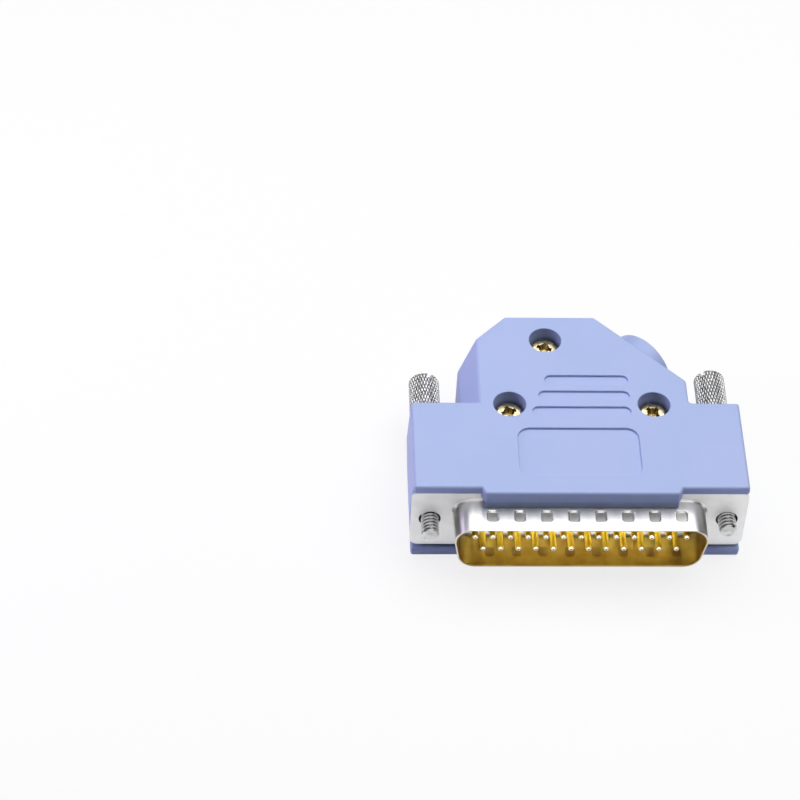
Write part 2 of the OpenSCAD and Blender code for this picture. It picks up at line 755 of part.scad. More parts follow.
// One saddle of the cable clamp, upper one; the lower one is its mirror image
module clamp_bar(hole) {
    color("silver") at_outlet() translate([clamp_x, 0, 0]) difference() {
        rotate([90, 0, 90]) linear_extrude(clamp_w) difference() {
            union() {
                intersection() {
                    translate([0, clamp_gap / 2]) circle(clamp_out);
                    translate([-clamp_out, clamp_gap / 2]) square([2 * clamp_out, clamp_out]);
                }
                translate([-clamp_end, clamp_gap / 2]) square([2 * clamp_end, clamp_sheet]);
            }
            translate([0, clamp_gap / 2]) circle(clamp_r);
        }
        for (m = [-1, 1]) translate([clamp_w / 2, m * clamp_screw_y, 0])
            cylinder(d = hole, h = clamp_seat + past);
    }
}

// One of the two screws of the cable clamp
module clamp_screw(side) {
    color("silver") at_outlet() translate([clamp_x + clamp_w / 2, side * clamp_screw_y, clamp_seat])
        pan_screw(clamp_screw_d, clamp_screw_l, clamp_head_d, clamp_head_h);
}

hood_top();
hood_bottom();
hood_screw(0);  // hood_screw_left
hood_screw(1);  // hood_screw_right
hood_screw(2);  // hood_screw_back
hood_nut(0);  // hood_nut_left
hood_nut(1);  // hood_nut_right
hood_nut(2);  // hood_nut_back
thumbscrew(-1, left_rest, left_turn);  // thumbscrew_left
thumbscrew(1, right_rest, right_turn);  // thumbscrew_right
ring(-1, left_rest);  // ring_left
ring(1, right_rest);  // ring_right
front_shell();
rear_shell();
front_insulator();
rear_insulator();
clamp_bar(clamp_screw_d + 2 * hole_gap);  // clamp_bar_upper
mirror([0, 0, 1]) clamp_bar(clamp_screw_d + fit_gap);  // clamp_bar_lower
clamp_screw(1);  // clamp_screw_left
clamp_screw(-1);  // clamp_screw_right
for (i = [0:contact_count - 1]) contact(i);
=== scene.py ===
"""Looks of a 25-way D-sub plug in a two-part hood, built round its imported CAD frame.

Sizes are in millimetres and are turned to metres where a mesh is made. Angles are in degrees.
Frame: origin at the centre of the flange's front face, +X along the flange, +Y back into the
hood, +Z up towards the longer row of pins.
"""

import logging
import math
from dataclasses import dataclass, field
from enum import Enum
from typing import Any, Iterable, Optional, Sequence, Union

import bmesh
import bpy
from mathutils import Matrix, Vector
from mathutils.bvhtree import BVHTree


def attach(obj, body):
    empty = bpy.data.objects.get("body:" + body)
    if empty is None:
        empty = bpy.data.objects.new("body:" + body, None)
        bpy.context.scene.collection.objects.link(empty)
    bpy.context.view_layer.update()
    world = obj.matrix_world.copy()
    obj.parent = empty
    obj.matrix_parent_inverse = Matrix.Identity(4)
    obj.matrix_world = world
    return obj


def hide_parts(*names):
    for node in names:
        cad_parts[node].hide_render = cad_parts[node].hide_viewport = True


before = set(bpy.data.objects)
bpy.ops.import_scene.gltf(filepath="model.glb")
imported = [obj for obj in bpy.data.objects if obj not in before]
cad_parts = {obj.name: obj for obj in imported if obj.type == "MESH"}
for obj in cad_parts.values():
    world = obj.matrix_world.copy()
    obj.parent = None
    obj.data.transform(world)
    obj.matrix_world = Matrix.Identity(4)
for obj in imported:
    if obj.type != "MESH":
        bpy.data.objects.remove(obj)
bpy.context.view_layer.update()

BMesh = bmesh.types.BMesh
BMEdge = bmesh.types.BMEdge
BMVert = bmesh.types.BMVert
Material = bpy.types.Material
NodeTree = bpy.types.NodeTree
Object = bpy.types.Object
Socket = bpy.types.NodeSocket
Point = Sequence[float]

MM = 0.001
# Distance within which two vertices are one, after one operator and after a long sweep
MERGE = 0.0002 * MM
SWEEP_MERGE = 5 * MERGE
# Distance within which a vertex counts as lying at a level
NEAR = 0.01 * MM
# Largest angle between the triangles of one flat CAD face
FLAT_ANGLE = 0.3
FULL_TURN = 2 * math.pi
# Turn that stands a shape drawn flat upright, across Y
UPRIGHT = Matrix.Rotation(math.radians(90), 4, "X")

# Stretch in which a noise pattern has most of its values
NOISE_RANGE = {"From Min": 0.35, "From Max": 0.65}
# Noise of broad clouds, of stains and of fine grain
CLOUD_NOISE = {"Detail": 2.0, "Roughness": 0.45}
STAIN_NOISE = {"Detail": 4.0, "Roughness": 0.55}
GRAIN_NOISE = {"Detail": 3.0, "Roughness": 0.6}
# Sockets of a mix node by number, as their names repeat: two inputs and the output
COLOUR_A, COLOUR_B, COLOUR_OUT = 6, 7, 2
NUMBER_A, NUMBER_B, NUMBER_OUT = 2, 3, 0
# Count of matt bounces that lies between none and one
HALF_BOUNCE = 0.5

# Marks of the shell's vertices: on the inside of the D, and on the floor of a dent
INSIDE = "inside"
PRESSED = "pressed"
# Attribute that darkens a metal with painted shade: its depth in a thread or knurl; on the shell, a painted
# dark reflection round the upper corners
PAINTED_DARK = "painted_dark"

log = logging.getLogger("d_sub_plug")


class Body(Enum):
    """Bodies that new pieces ride on."""

    PLUG = "plug"
    LEFT_THUMBSCREW = "left_thumbscrew"
    RIGHT_THUMBSCREW = "right_thumbscrew"


class Slot(Enum):
    """Material slots of the part's record."""

    HOOD = "hood"
    SHELL = "shell_plating"
    CONTACT = "contact_plating"
    SCREW = "screw_plating"
    THUMBSCREW = "thumbscrew_plating"


class Side(Enum):
    """Left or right thumbscrew, as a sign along X."""

    LEFT = -1
    RIGHT = 1


@dataclass(frozen=True)
class ScrewPlace:
    """Where a hood screw stands, seen from above, and how far its cross is turned."""

    name: str
    x: float
    y: float
    turn: float


SCREW_PLACES = (
    ScrewPlace("left", x=-10.53, y=16.86, turn=20),
    ScrewPlace("right", x=12.58, y=16.86, turn=45),
    ScrewPlace("back", x=-4.05, y=30.8, turn=70),
)


def linear(text: str) -> tuple[float, float, float, float]:
    """Turn an sRGB hex colour into linear RGBA.

    Args:
        text: colour such as "#b2c2ea".

    Returns:
        The colour in linear light, with full alpha.
    """
    channels = [int(text[i:i + 2], 16) / 255 for i in (1, 3, 5)]
    red, green, blue = [c / 12.92 if c <= 0.04045 else ((c + 0.055) / 1.055) ** 2.4 for c in channels]
    return red, green, blue, 1.0


def per_metre(size_mm: float) -> float:
    """Scale of a pattern on Object coordinates whose features are size_mm wide."""
    return 1 / (size_mm * MM)


def mm(x: float, y: float, z: float) -> Vector:
    """Point in metres from millimetres."""
    return Vector((x * MM, y * MM, z * MM))


def ease(share: float) -> float:
    """Rise from 0 to 1 with a soft start and end."""
    return share * share * (3 - 2 * share)


def add_node(tree: NodeTree, kind: str, settings: Optional[dict[str, Any]] = None,
             inputs: Optional[dict[Union[str, int], Any]] = None) -> bpy.types.Node:
    """Add a node with its settings, values and links.

    Args:
        tree: node tree that the node joins.
        kind: Blender's name of the node's type.
        settings: attributes of the node itself.
        inputs: value, or socket to link from, for each input by name or index.

    Returns:
        The new node.
    """
    node = tree.nodes.new(kind)
    for key, value in (settings or {}).items():
        setattr(node, key, value)
    for key, value in (inputs or {}).items():
        if isinstance(value, Socket):
            tree.links.new(value, node.inputs[key])
        else:
            node.inputs[key].default_value = value
    return node


def empty_material(name: str) -> tuple[Material, NodeTree]:
    """Start a material with no nodes.

    Args:
        name: name of the real material.

    Returns:
        The material and its node tree.
    """
    material = bpy.data.materials.new(name)
    material.use_nodes = True
    material.node_tree.nodes.clear()
    return material, material.node_tree


def mottled(tree: NodeTree, place: Socket, size_mm: float, noise: dict[str, float], low: str,
            high: str) -> tuple[Socket, Socket]:
    """Blend two colours in soft patches.

    Args:
        tree: node tree of the material.
        place: coordinates that the patches follow.
        size_mm: width of a patch.
        noise: detail and roughness of the patches.
        low: colour where the noise is low.
        high: colour where the noise is high.

    Returns:
        The noise and the blended colour.
    """
    patches = add_node(tree, "ShaderNodeTexNoise", inputs={
        "Vector": place, "Scale": per_metre(size_mm), **noise}).outputs["Fac"]
    share = add_node(tree, "ShaderNodeMapRange", inputs={"Value": patches, **NOISE_RANGE})
    colour = add_node(tree, "ShaderNodeMix", {"data_type": "RGBA"}, {
        "Factor": share.outputs["Result"], COLOUR_A: linear(low), COLOUR_B: linear(high)})
    return patches, colour.outputs[COLOUR_OUT]


@dataclass(frozen=True)
class MouldedPlastic:
    """Injection-moulded plastic from a spark-eroded tool.

    The eye sees one even colour with a fine matt grain, and faint broad clouds where the melt flowed.
    The grain is drawn coarser than it is, so that it shows.
    """

    name: str
    colour: str
    cloud: str
    roughness: float
    grain_mm: float
    grain_depth_mm: float
    cloud_mm: float = 11.0
    spread: float = 0.06
    ior: float = 1.5

    def material(self) -> Material:
        """Make the material of this finish.

        Returns:
            The new material.
        """
        material, tree = empty_material(self.name)
        place = add_node(tree, "ShaderNodeTexCoord").outputs["Object"]
        _, colour = mottled(tree, place, self.cloud_mm, CLOUD_NOISE, self.cloud, self.colour)
        grain = add_node(tree, "ShaderNodeTexNoise", inputs={
            "Vector": place, "Scale": per_metre(self.grain_mm), **GRAIN_NOISE}).outputs["Fac"]
        bump = add_node(tree, "ShaderNodeBump", inputs={
            "Height": grain, "Strength": 1.0, "Distance": self.grain_depth_mm * MM})
        sheen = add_node(tree, "ShaderNodeMapRange", inputs={
            "Value": grain, "To Min": self.roughness - self.spread, "To Max": self.roughness + self.spread})
        shader = add_node(tree, "ShaderNodeBsdfPrincipled", inputs={
            "Base Color": colour, "Roughness": sheen.outputs["Result"], "Normal": bump.outputs["Normal"],
            "IOR": self.ior})
        add_node(tree, "ShaderNodeOutputMaterial", inputs={"Surface": shader.outputs["BSDF"]})
        return material


@dataclass(frozen=True)
class PlatedMetal:
    """Plated metal with the faint lines of the tool that drew or turned it.

    The eye sees a bright surface, a little uneven in tint, with fine lines along one direction.
    The lines are drawn coarser than they are, so that they show.
    """

    name: str
    colour: str
    stain: str
    roughness: float
    line_mm: Point
    line_depth_mm: float
    spread: float = 0.05
    stain_mm: float = 3.0
    # Colour of painted shade in grooves, or of a painted dark reflection, and its least share where the
    # stains are high
    groove: Optional[str] = None
    shade_least: float = 1.0
    sheen_stretch: float = 0.0

    def darkened(self, tree: NodeTree, stains: Socket, colour: Socket) -> Socket:
        """Blend in the groove's colour, painted shade or a painted dark reflection, where the piece's
        attribute asks for it.

        Args:
            tree: node tree of the material.
            stains: noise that makes the painted shade patchy.
            colour: colour outside the grooves.

        Returns:
            The blended colour.
        """
        depth = add_node(tree, "ShaderNodeAttribute", {"attribute_name": PAINTED_DARK})
        patches = add_node(tree, "ShaderNodeMapRange", inputs={
            "Value": stains, **NOISE_RANGE, "To Min": 1.0, "To Max": self.shade_least})
        shade_share = add_node(tree, "ShaderNodeMath", {"operation": "MULTIPLY"}, {
            0: depth.outputs["Fac"], 1: patches.outputs["Result"]})
        return add_node(tree, "ShaderNodeMix", {"data_type": "RGBA"}, {
            "Factor": shade_share.outputs[0], COLOUR_A: colour,
            COLOUR_B: linear(self.groove)}).outputs[COLOUR_OUT]

    def material(self) -> Material:
        """Make the material of this finish.

        Returns:
            The new material.
        """
        material, tree = empty_material(self.name)
        place = add_node(tree, "ShaderNodeTexCoord").outputs["Object"]
        stains, colour = mottled(tree, place, self.stain_mm, STAIN_NOISE, self.stain, self.colour)
        if self.groove:
            colour = self.darkened(tree, stains, colour)
        stretch = add_node(tree, "ShaderNodeMapping", inputs={
            "Vector": place, "Scale": [per_metre(size) for size in self.line_mm]})
        lines = add_node(tree, "ShaderNodeTexNoise", inputs={
            "Vector": stretch.outputs["Vector"], "Scale": 1.0, **GRAIN_NOISE}).outputs["Fac"]
        gloss = add_node(tree, "ShaderNodeMapRange", inputs={
            "Value": lines, **NOISE_RANGE, "To Min": self.roughness - self.spread,
            "To Max": self.roughness + self.spread})
        bump = add_node(tree, "ShaderNodeBump", inputs={
            "Height": lines, "Strength": 1.0, "Distance": self.line_depth_mm * MM})
        looks = {"Base Color": colour, "Metallic": 1.0, "Roughness": gloss.outputs["Result"],
                 "Normal": bump.outputs["Normal"]}
        if self.sheen_stretch:
            along = add_node(tree, "ShaderNodeCombineXYZ", inputs={"Y": 1.0})
            looks.update({"Anisotropic": self.sheen_stretch, "Tangent": along.outputs["Vector"]})
        shader = add_node(tree, "ShaderNodeBsdfPrincipled", inputs=looks)
        add_node(tree, "ShaderNodeOutputMaterial", inputs={"Surface": shader.outputs["BSDF"]})
        return material


# Moulded ABS in a pale periwinkle, matt from spark erosion
HOOD_ABS = MouldedPlastic(
    "moulded_abs_periwinkle", "#aabae6", "#a6b9e4", roughness=0.46, grain_mm=0.3, grain_depth_mm=0.004)
# Glass-filled polyester of the insulators, a pale white with a slight sheen
INSULATOR_PBT = MouldedPlastic(
    "moulded_polyester_white", "#f4f5ea", "#eef0df", roughness=0.5, grain_mm=0.25, grain_depth_mm=0.004,
    cloud_mm=6.0)
# Tin plate on the drawn skirt, satin along the draw and sharp round the D; its tone is painted darker than
# the flange's as shade, and a painted dark reflection streaks its upper corners
TIN_PLATE = PlatedMetal(
    "tin_plated_steel", "#dcdbd9", "#d4d4d2", roughness=0.32, spread=0.03, line_mm=(0.5, 6.0, 0.5),
    line_depth_mm=0.0001, groove="#6a6a69", shade_least=0.9, sheen_stretch=0.83)
# Tin plate on the flat flange, even and satin; the same plate as the skirt, its tone painted lighter as
# light
FLANGE_TIN = PlatedMetal(
    "tin_plated_steel_flat", "#f6f6f6", "#f0f0f1", roughness=0.7, spread=0.03, line_mm=(6.0, 0.6, 0.8),
    line_depth_mm=0.00005)
# Floor of the pressed dents, rougher from the punch, and painted a darker grey as shade
DENT_SHADE_TIN = PlatedMetal(
    "tin_plated_steel_dent_shade", "#bab8b2", "#a9a7a2", roughness=0.45, line_mm=(0.3, 0.3, 0.3),
    line_depth_mm=0.0006)
# Yellow passivation on the inside of the shell, an amber film with browner patches
AMBER_PASSIVATION = PlatedMetal(
    "yellow_passivated_steel", "#a68c40", "#977834", roughness=0.4, line_mm=(0.6, 6.0, 0.6),
    line_depth_mm=0.0003, stain_mm=1.8)
# The same film, browner on the bulges that the dents leave inside
BULGE_FILM = PlatedMetal(
    "yellow_passivated_steel_bulge", "#8e733c", "#816531", roughness=0.45, line_mm=(0.6, 0.6, 0.6),
    line_depth_mm=0.0003, stain_mm=1.8)
# Gold flash on the pins, a strong warm yellow
GOLD_FLASH = PlatedMetal(
    "gold_flashed_brass", "#ffe65c", "#fbdb4c", roughness=0.36, line_mm=(0.15, 4.0, 0.15),
    line_depth_mm=0.0003, stain_mm=1.5)
# Nose of a pin, painted pale as a highlight
NOSE_HIGHLIGHT = PlatedMetal(
    "pin_nose_painted_highlight", "#f6ecd2", "#efe2c0", roughness=0.3, line_mm=(0.2, 0.2, 0.2),
    line_depth_mm=0.0003, stain_mm=1.0)
# Painted shade in the hole of a pin's tip, a dark brown
HOLE_SHADE = PlatedMetal(
    "tip_hole_painted_shade", "#6a5530", "#42331c", roughness=0.4, spread=0.08, line_mm=(0.3, 0.3, 0.3),
    line_depth_mm=0.001, stain_mm=0.6)
# Yellow zinc in the recess of a screw, with fine patches of painted shade in a darker brown
RECESS_ZINC = PlatedMetal(
    "yellow_zinc_in_recess", "#cbbf9c", "#8a7b55", roughness=0.24, spread=0.08, line_mm=(0.3, 0.3, 0.3),
    line_depth_mm=0.002, stain_mm=0.5)
# Yellow-tinted zinc on the cross-recess screws, bright on the rim
SCREW_ZINC = PlatedMetal(
    "yellow_zinc_plated_steel", "#cabf9f", "#a2926a", roughness=0.24, line_mm=(0.6, 0.6, 0.6),
    line_depth_mm=0.0008, stain_mm=0.7)
# Bright nickel on the rolled thread, with painted shade, near black, between the ridges
THREAD_NICKEL = PlatedMetal(
    "bright_nickel_thread", "#dadada", "#b6b7b8", roughness=0.16, line_mm=(0.4, 0.4, 0.4),
    line_depth_mm=0.0006, stain_mm=0.9, groove="#0c0d0e", shade_least=0.92)
# Satin nickel on the knurled head, with painted shade in the grooves, near black and patchy in strength
KNURL_NICKEL = PlatedMetal(
    "satin_nickel_knurl", "#c4c4c3", "#a2a3a3", roughness=0.3, line_mm=(0.4, 0.4, 0.4),
    line_depth_mm=0.0006, stain_mm=0.8, groove="#1c1d1f", shade_least=0.45)
# Zinc plate on the clamp and the hidden half of the shell
ZINC_PLATE = PlatedMetal(
    "zinc_plated_steel", "#c7cbcf", "#b7bcc2", roughness=0.33, spread=0.08, line_mm=(0.8, 0.8, 4.0),
    line_depth_mm=0.0008)
# Blued spring steel of the retaining rings
SPRING_STEEL = PlatedMetal(
    "blued_spring_steel", "#54565c", "#44464d", roughness=0.35, spread=0.08, line_mm=(0.5, 0.5, 0.5),
    line_depth_mm=0.0006)

Finish = Union[MouldedPlastic, PlatedMetal]


class Paintbox:
    """Makes each finish's material once."""

    def __init__(self) -> None:
        """Start with no materials."""
        self.made: dict[str, Material] = {}

    def of(self, finish: Finish) -> Material:
        """Give the material of a finish.

        Args:
            finish: the finish wanted.

        Returns:
            Its material, made on the first call.
        """
        if finish.name not in self.made:
            self.made[finish.name] = finish.material()
        return self.made[finish.name]


PAINT = Paintbox()


def shade_by_angle(bm: BMesh, degrees: float) -> None:
    """Shade smooth, with sharp edges where faces meet at more than an angle.

    Args:
        bm: mesh to shade.
        degrees: largest angle that still shades smooth.
    """
    limit = math.radians(degrees)
    for face in bm.faces:
        face.smooth = True
    for edge in bm.edges:
        edge.smooth = not edge.is_manifold or edge.calc_face_angle(0.0) < limit


def to_object(name: str, bm: BMesh) -> Object:
    """Turn a bmesh into an object of the scene.

    Args:
        name: name of the object and of its mesh.
        bm: the mesh, which is used up.

    Returns:
        The new object.
    """
    mesh = bpy.data.meshes.new(name)
    bm.to_mesh(mesh)
    bm.free()
    made = bpy.data.objects.new(name, mesh)
    bpy.context.scene.collection.objects.link(made)
    return made


def make_piece(name: str, bm: BMesh, body: Body, finishes: Sequence[Finish],
               nodes: Iterable[str]) -> Object:
    """Turn a bmesh into a piece that rides on a body.

    Args:
        name: name of the piece.
        bm: its mesh, which is used up.
        body: body that it moves with.
        finishes: finishes in the order of the faces' material indices.
        nodes: CAD nodes that the piece stands for.

    Returns:
        The new object.
    """
    piece = to_object(name, bm)
    for finish in finishes:
        piece.data.materials.append(PAINT.of(finish))
    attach(piece, body.value)
    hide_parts(*nodes)
    log.info("%s: %d faces on %s", name, len(piece.data.polygons), body.value)
    return piece


def even_normals(piece: Object) -> None:
    """Let large flat faces keep their own normals beside rounded edges."""
    modifier = piece.modifiers.new("even_normals", "WEIGHTED_NORMAL")
    modifier.keep_sharp = True


def merged_copy(node: str) -> BMesh:
    """Copy a CAD node's mesh with its triangles welded and its flat faces joined.

    Args:
        node: name of the CAD node.

    Returns:
        The copy.
    """
    bm = bmesh.new()
    bm.from_mesh(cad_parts[node].data)
    bmesh.ops.remove_doubles(bm, verts=bm.verts, dist=MERGE)
    bmesh.ops.dissolve_limit(bm, angle_limit=math.radians(FLAT_ANGLE), verts=bm.verts, edges=bm.edges)
    return bm


def round_edges(bm: BMesh, edges: Sequence[BMEdge], radius_mm: float, segments: int, clamp: bool) -> None:
    """Round edges with an even arc.

    Args:
        bm: mesh that holds the edges.
        edges: edges to round.
        radius_mm: width of the rounding.
        segments: faces across the rounding.
        clamp: narrow the rounding of all edges to what the shortest one allows.
    """
    if edges:
        bmesh.ops.bevel(bm, geom=edges, offset=radius_mm * MM, offset_type="OFFSET", segments=segments,
                        profile=0.5, affect="EDGES", material=-1, clamp_overlap=clamp)


def add_box(bm: BMesh, size: Vector, place: Matrix) -> None:
    """Add a box of a size, its middle moved and turned to a place."""
    bmesh.ops.create_cube(bm, size=1.0, matrix=place @ Matrix.Diagonal((*size, 1.0)))


def chain(bm: BMesh, points: Iterable[Vector]) -> list[Any]:
    """Draw an open line of edges.

    Args:
        bm: mesh that the line joins.
        points: corners of the line, in metres.

    Returns:
        Its vertices and then its edges.
    """
    verts = [bm.verts.new(point) for point in points]
    return verts + [bm.edges.new(pair) for pair in zip(verts, verts[1:])]


def spun(bm: BMesh, outline: Sequence[Point], foot: Vector, axis: Vector, steps: int) -> None:
    """Turn an outline of radius and height into a closed solid.

    Args:
        bm: mesh that the solid joins.
        outline: radius and height of each corner, in millimetres, from axis to axis.
        foot: point on the axis at height 0.
        axis: direction of the height.
        steps: faces round the solid.
    """
    across = axis.orthogonal().normalized()
    line = chain(bm, [foot + across * radius * MM + axis * height * MM for radius, height in outline])
    bmesh.ops.spin(bm, geom=line, cent=foot, axis=axis, angle=FULL_TURN, steps=steps, use_merge=True)
    bmesh.ops.remove_doubles(bm, verts=bm.verts, dist=MERGE)
    bmesh.ops.recalc_face_normals(bm, faces=bm.faces)


def arc(centre: Point, radius: float, start: float, end: float, steps: int) -> list[tuple[float, float]]:
    """Points of a plane arc.

    Args:
        centre: middle of the arc.
        radius: its radius.
        start: first angle.
        end: last angle.
        steps: number of chords.

    Returns:
        steps + 1 points.
    """
    angles = [math.radians(start + (end - start) * i / steps) for i in range(steps + 1)]
    return [(centre[0] + radius * math.cos(a), centre[1] + radius * math.sin(a)) for a in angles]


def carve(solid: BMesh, tool: BMesh) -> BMesh:
    """Take a tool's shape out of a solid.

    Args:
        solid: closed mesh to cut, which is used up.
        tool: closed shape to take out, which is used up.

    Returns:
        What is left of the solid.
    """
    shapes = [to_object("solid", solid), to_object("tool", tool)]
    modifier = shapes[0].modifiers.new("carve", "BOOLEAN")
    modifier.operation = "DIFFERENCE"
    modifier.solver = "EXACT"
    modifier.object = shapes[1]
    bpy.context.view_layer.update()
    cut = shapes[0].evaluated_get(bpy.context.evaluated_depsgraph_get())
    result = bpy.data.meshes.new_from_object(cut)
    carved = bmesh.new()
    carved.from_mesh(result)
    for mesh in [result] + [shape.data for shape in shapes]:
        bpy.data.meshes.remove(mesh)
    return carved


@dataclass
class HoodHalf:
    """One half of the moulded hood, with its moulded edges rounded."""

    node: str
    other: str
    # Width of each rounding and the faces across it
    outer_round: float = 0.42
    recess_round: float = 0.15
    lip_round: float = 0.08
    seam_round: float = 0.12
    collar_round: float = 0.3
    fillet: float = 0.7
    round_steps: int = 4
    # Least angle of a rounded edge, and its least length where it is not on the flat top
    edge_angle: float = 30.0
    shortest: float = 1.0
    # Least height of the edge in an inner corner
    upright: float = 0.5
    # How far off the surface a ray starts that looks for open air
    probe: float = 0.02
    # Largest angle that still shades smooth
    smooth_angle: float = 40.0
    # Places of the CAD half's own forms, and how far round them an edge belongs to them
    collar_start: float = 29.0
    body_x: float = 18.2
    wing_back: float = 17.26
    half_height: float = 8.375
    label_low: Point = (-9.6, 1.8)
    label_high: Point = (9.6, 11.8)
    grip_low: Point = (-7.0, 14.0)
    grip_high: Point = (8.9, 23.2)
    lip_root: float = -0.7
    lip_low: float = 6.125
    well_radius: float = 3.1
    slack: float = 0.3

    def in_recess(self, point: Vector) -> bool:
        """Say whether a point lies on a recess or a screw well, seen from above.

        Args:
            point: the point, in metres.

        Returns:
            True where it does.
        """
        x, y = point.x / MM, point.y / MM
        for low, high in ((self.label_low, self.label_high), (self.grip_low, self.grip_high)):
            beside = low[0] - self.slack < x < high[0] + self.slack
            if beside and low[1] - self.slack < y < high[1] + self.slack:
                return True
        reach = self.well_radius + self.slack
        return any(math.hypot(x - place.x, y - place.y) < reach for place in SCREW_PLACES)

    def under_lip(self, point: Vector) -> bool:
        """Say whether a point lies on the lower edge of the lip or on the rib below it."""
        return point.y / MM < self.lip_root and abs(point.z) / MM < self.lip_low + self.slack

    def on_collar(self, point: Vector) -> bool:
        """Say whether a point lies on the outlet's collar, which points back to the right."""
        return (point.x + point.y) / math.sqrt(2) > self.collar_start * MM

    def on_top(self, edge: BMEdge) -> bool:
        """Say whether an edge lies on the flat top or bottom."""
        return all(abs(abs(vert.co.z) - self.half_height * MM) < MERGE for vert in edge.verts)

    def in_corner(self, edge: BMEdge) -> bool:
        """Say whether an edge is an inner corner between a wing and the body."""
        upright = abs(edge.verts[0].co.z - edge.verts[1].co.z) > self.upright * MM
        return upright and all(abs(vert.co.y - self.wing_back * MM) < NEAR
                               and abs(abs(vert.co.x) - self.body_x * MM) < NEAR for vert in edge.verts)

    def groups(self, bm: BMesh) -> dict[float, list[BMEdge]]:
        """Sort the edges that face open air by the rounding they get.

        Args:
            bm: welded copy of the CAD half.

        Returns:
            Edges for each rounding width, in the order in which they are rounded.
        """
        both = bm.copy()
        both.from_mesh(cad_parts[self.other].data)
        tree = BVHTree.FromBMesh(both)
        both.free()
        found: dict[float, list[BMEdge]] = {width: [] for width in (
            self.fillet, self.outer_round, self.collar_round, self.recess_round, self.lip_round,
            self.seam_round)}
        for edge in bm.edges:
            if self.in_corner(edge):
                found[self.fillet].append(edge)
            if not edge.is_manifold or edge.calc_face_angle_signed(0.0) < math.radians(self.edge_angle):
                continue
            middle = (edge.verts[0].co + edge.verts[1].co) / 2
            normals = [face.normal for face in edge.link_faces]
            outward = (normals[0] + normals[1]).normalized()
            start = middle + outward * self.probe * MM
            free = [tree.ray_cast(start, way)[0] is None for way in (outward, *normals)]
            if not free[0]:
                continue
            if all(abs(vert.co.z) < MERGE for vert in edge.verts):
                found[self.seam_round].append(edge)
            elif self.in_recess(middle):
                found[self.recess_round].append(edge)
            elif self.under_lip(middle):
                found[self.lip_round].append(edge)
            elif self.on_collar(middle):
                found[self.collar_round].append(edge)
            elif all(free) and (edge.calc_length() > self.shortest * MM or self.on_top(edge)):
                found[self.outer_round].append(edge)
        return found

    def build(self) -> Object:
        """Make the half, each group of edges found afresh before it is rounded, and dress it.

        Returns:
            The finished half.
        """
        bm = merged_copy(self.node)
        for width in self.groups(bm):
            edges = self.groups(bm)[width]
            log.info("%s: %d edges rounded by %.2f mm", self.node, len(edges), width)
            round_edges(bm, edges, width, self.round_steps, clamp=False)
        bmesh.ops.dissolve_degenerate(bm, dist=MERGE, edges=bm.edges)
        shade_by_angle(bm, self.smooth_angle)
        piece = make_piece(self.node + "_dressed", bm, Body.PLUG, [HOOD_ABS], [self.node])
        even_normals(piece)
        return piece


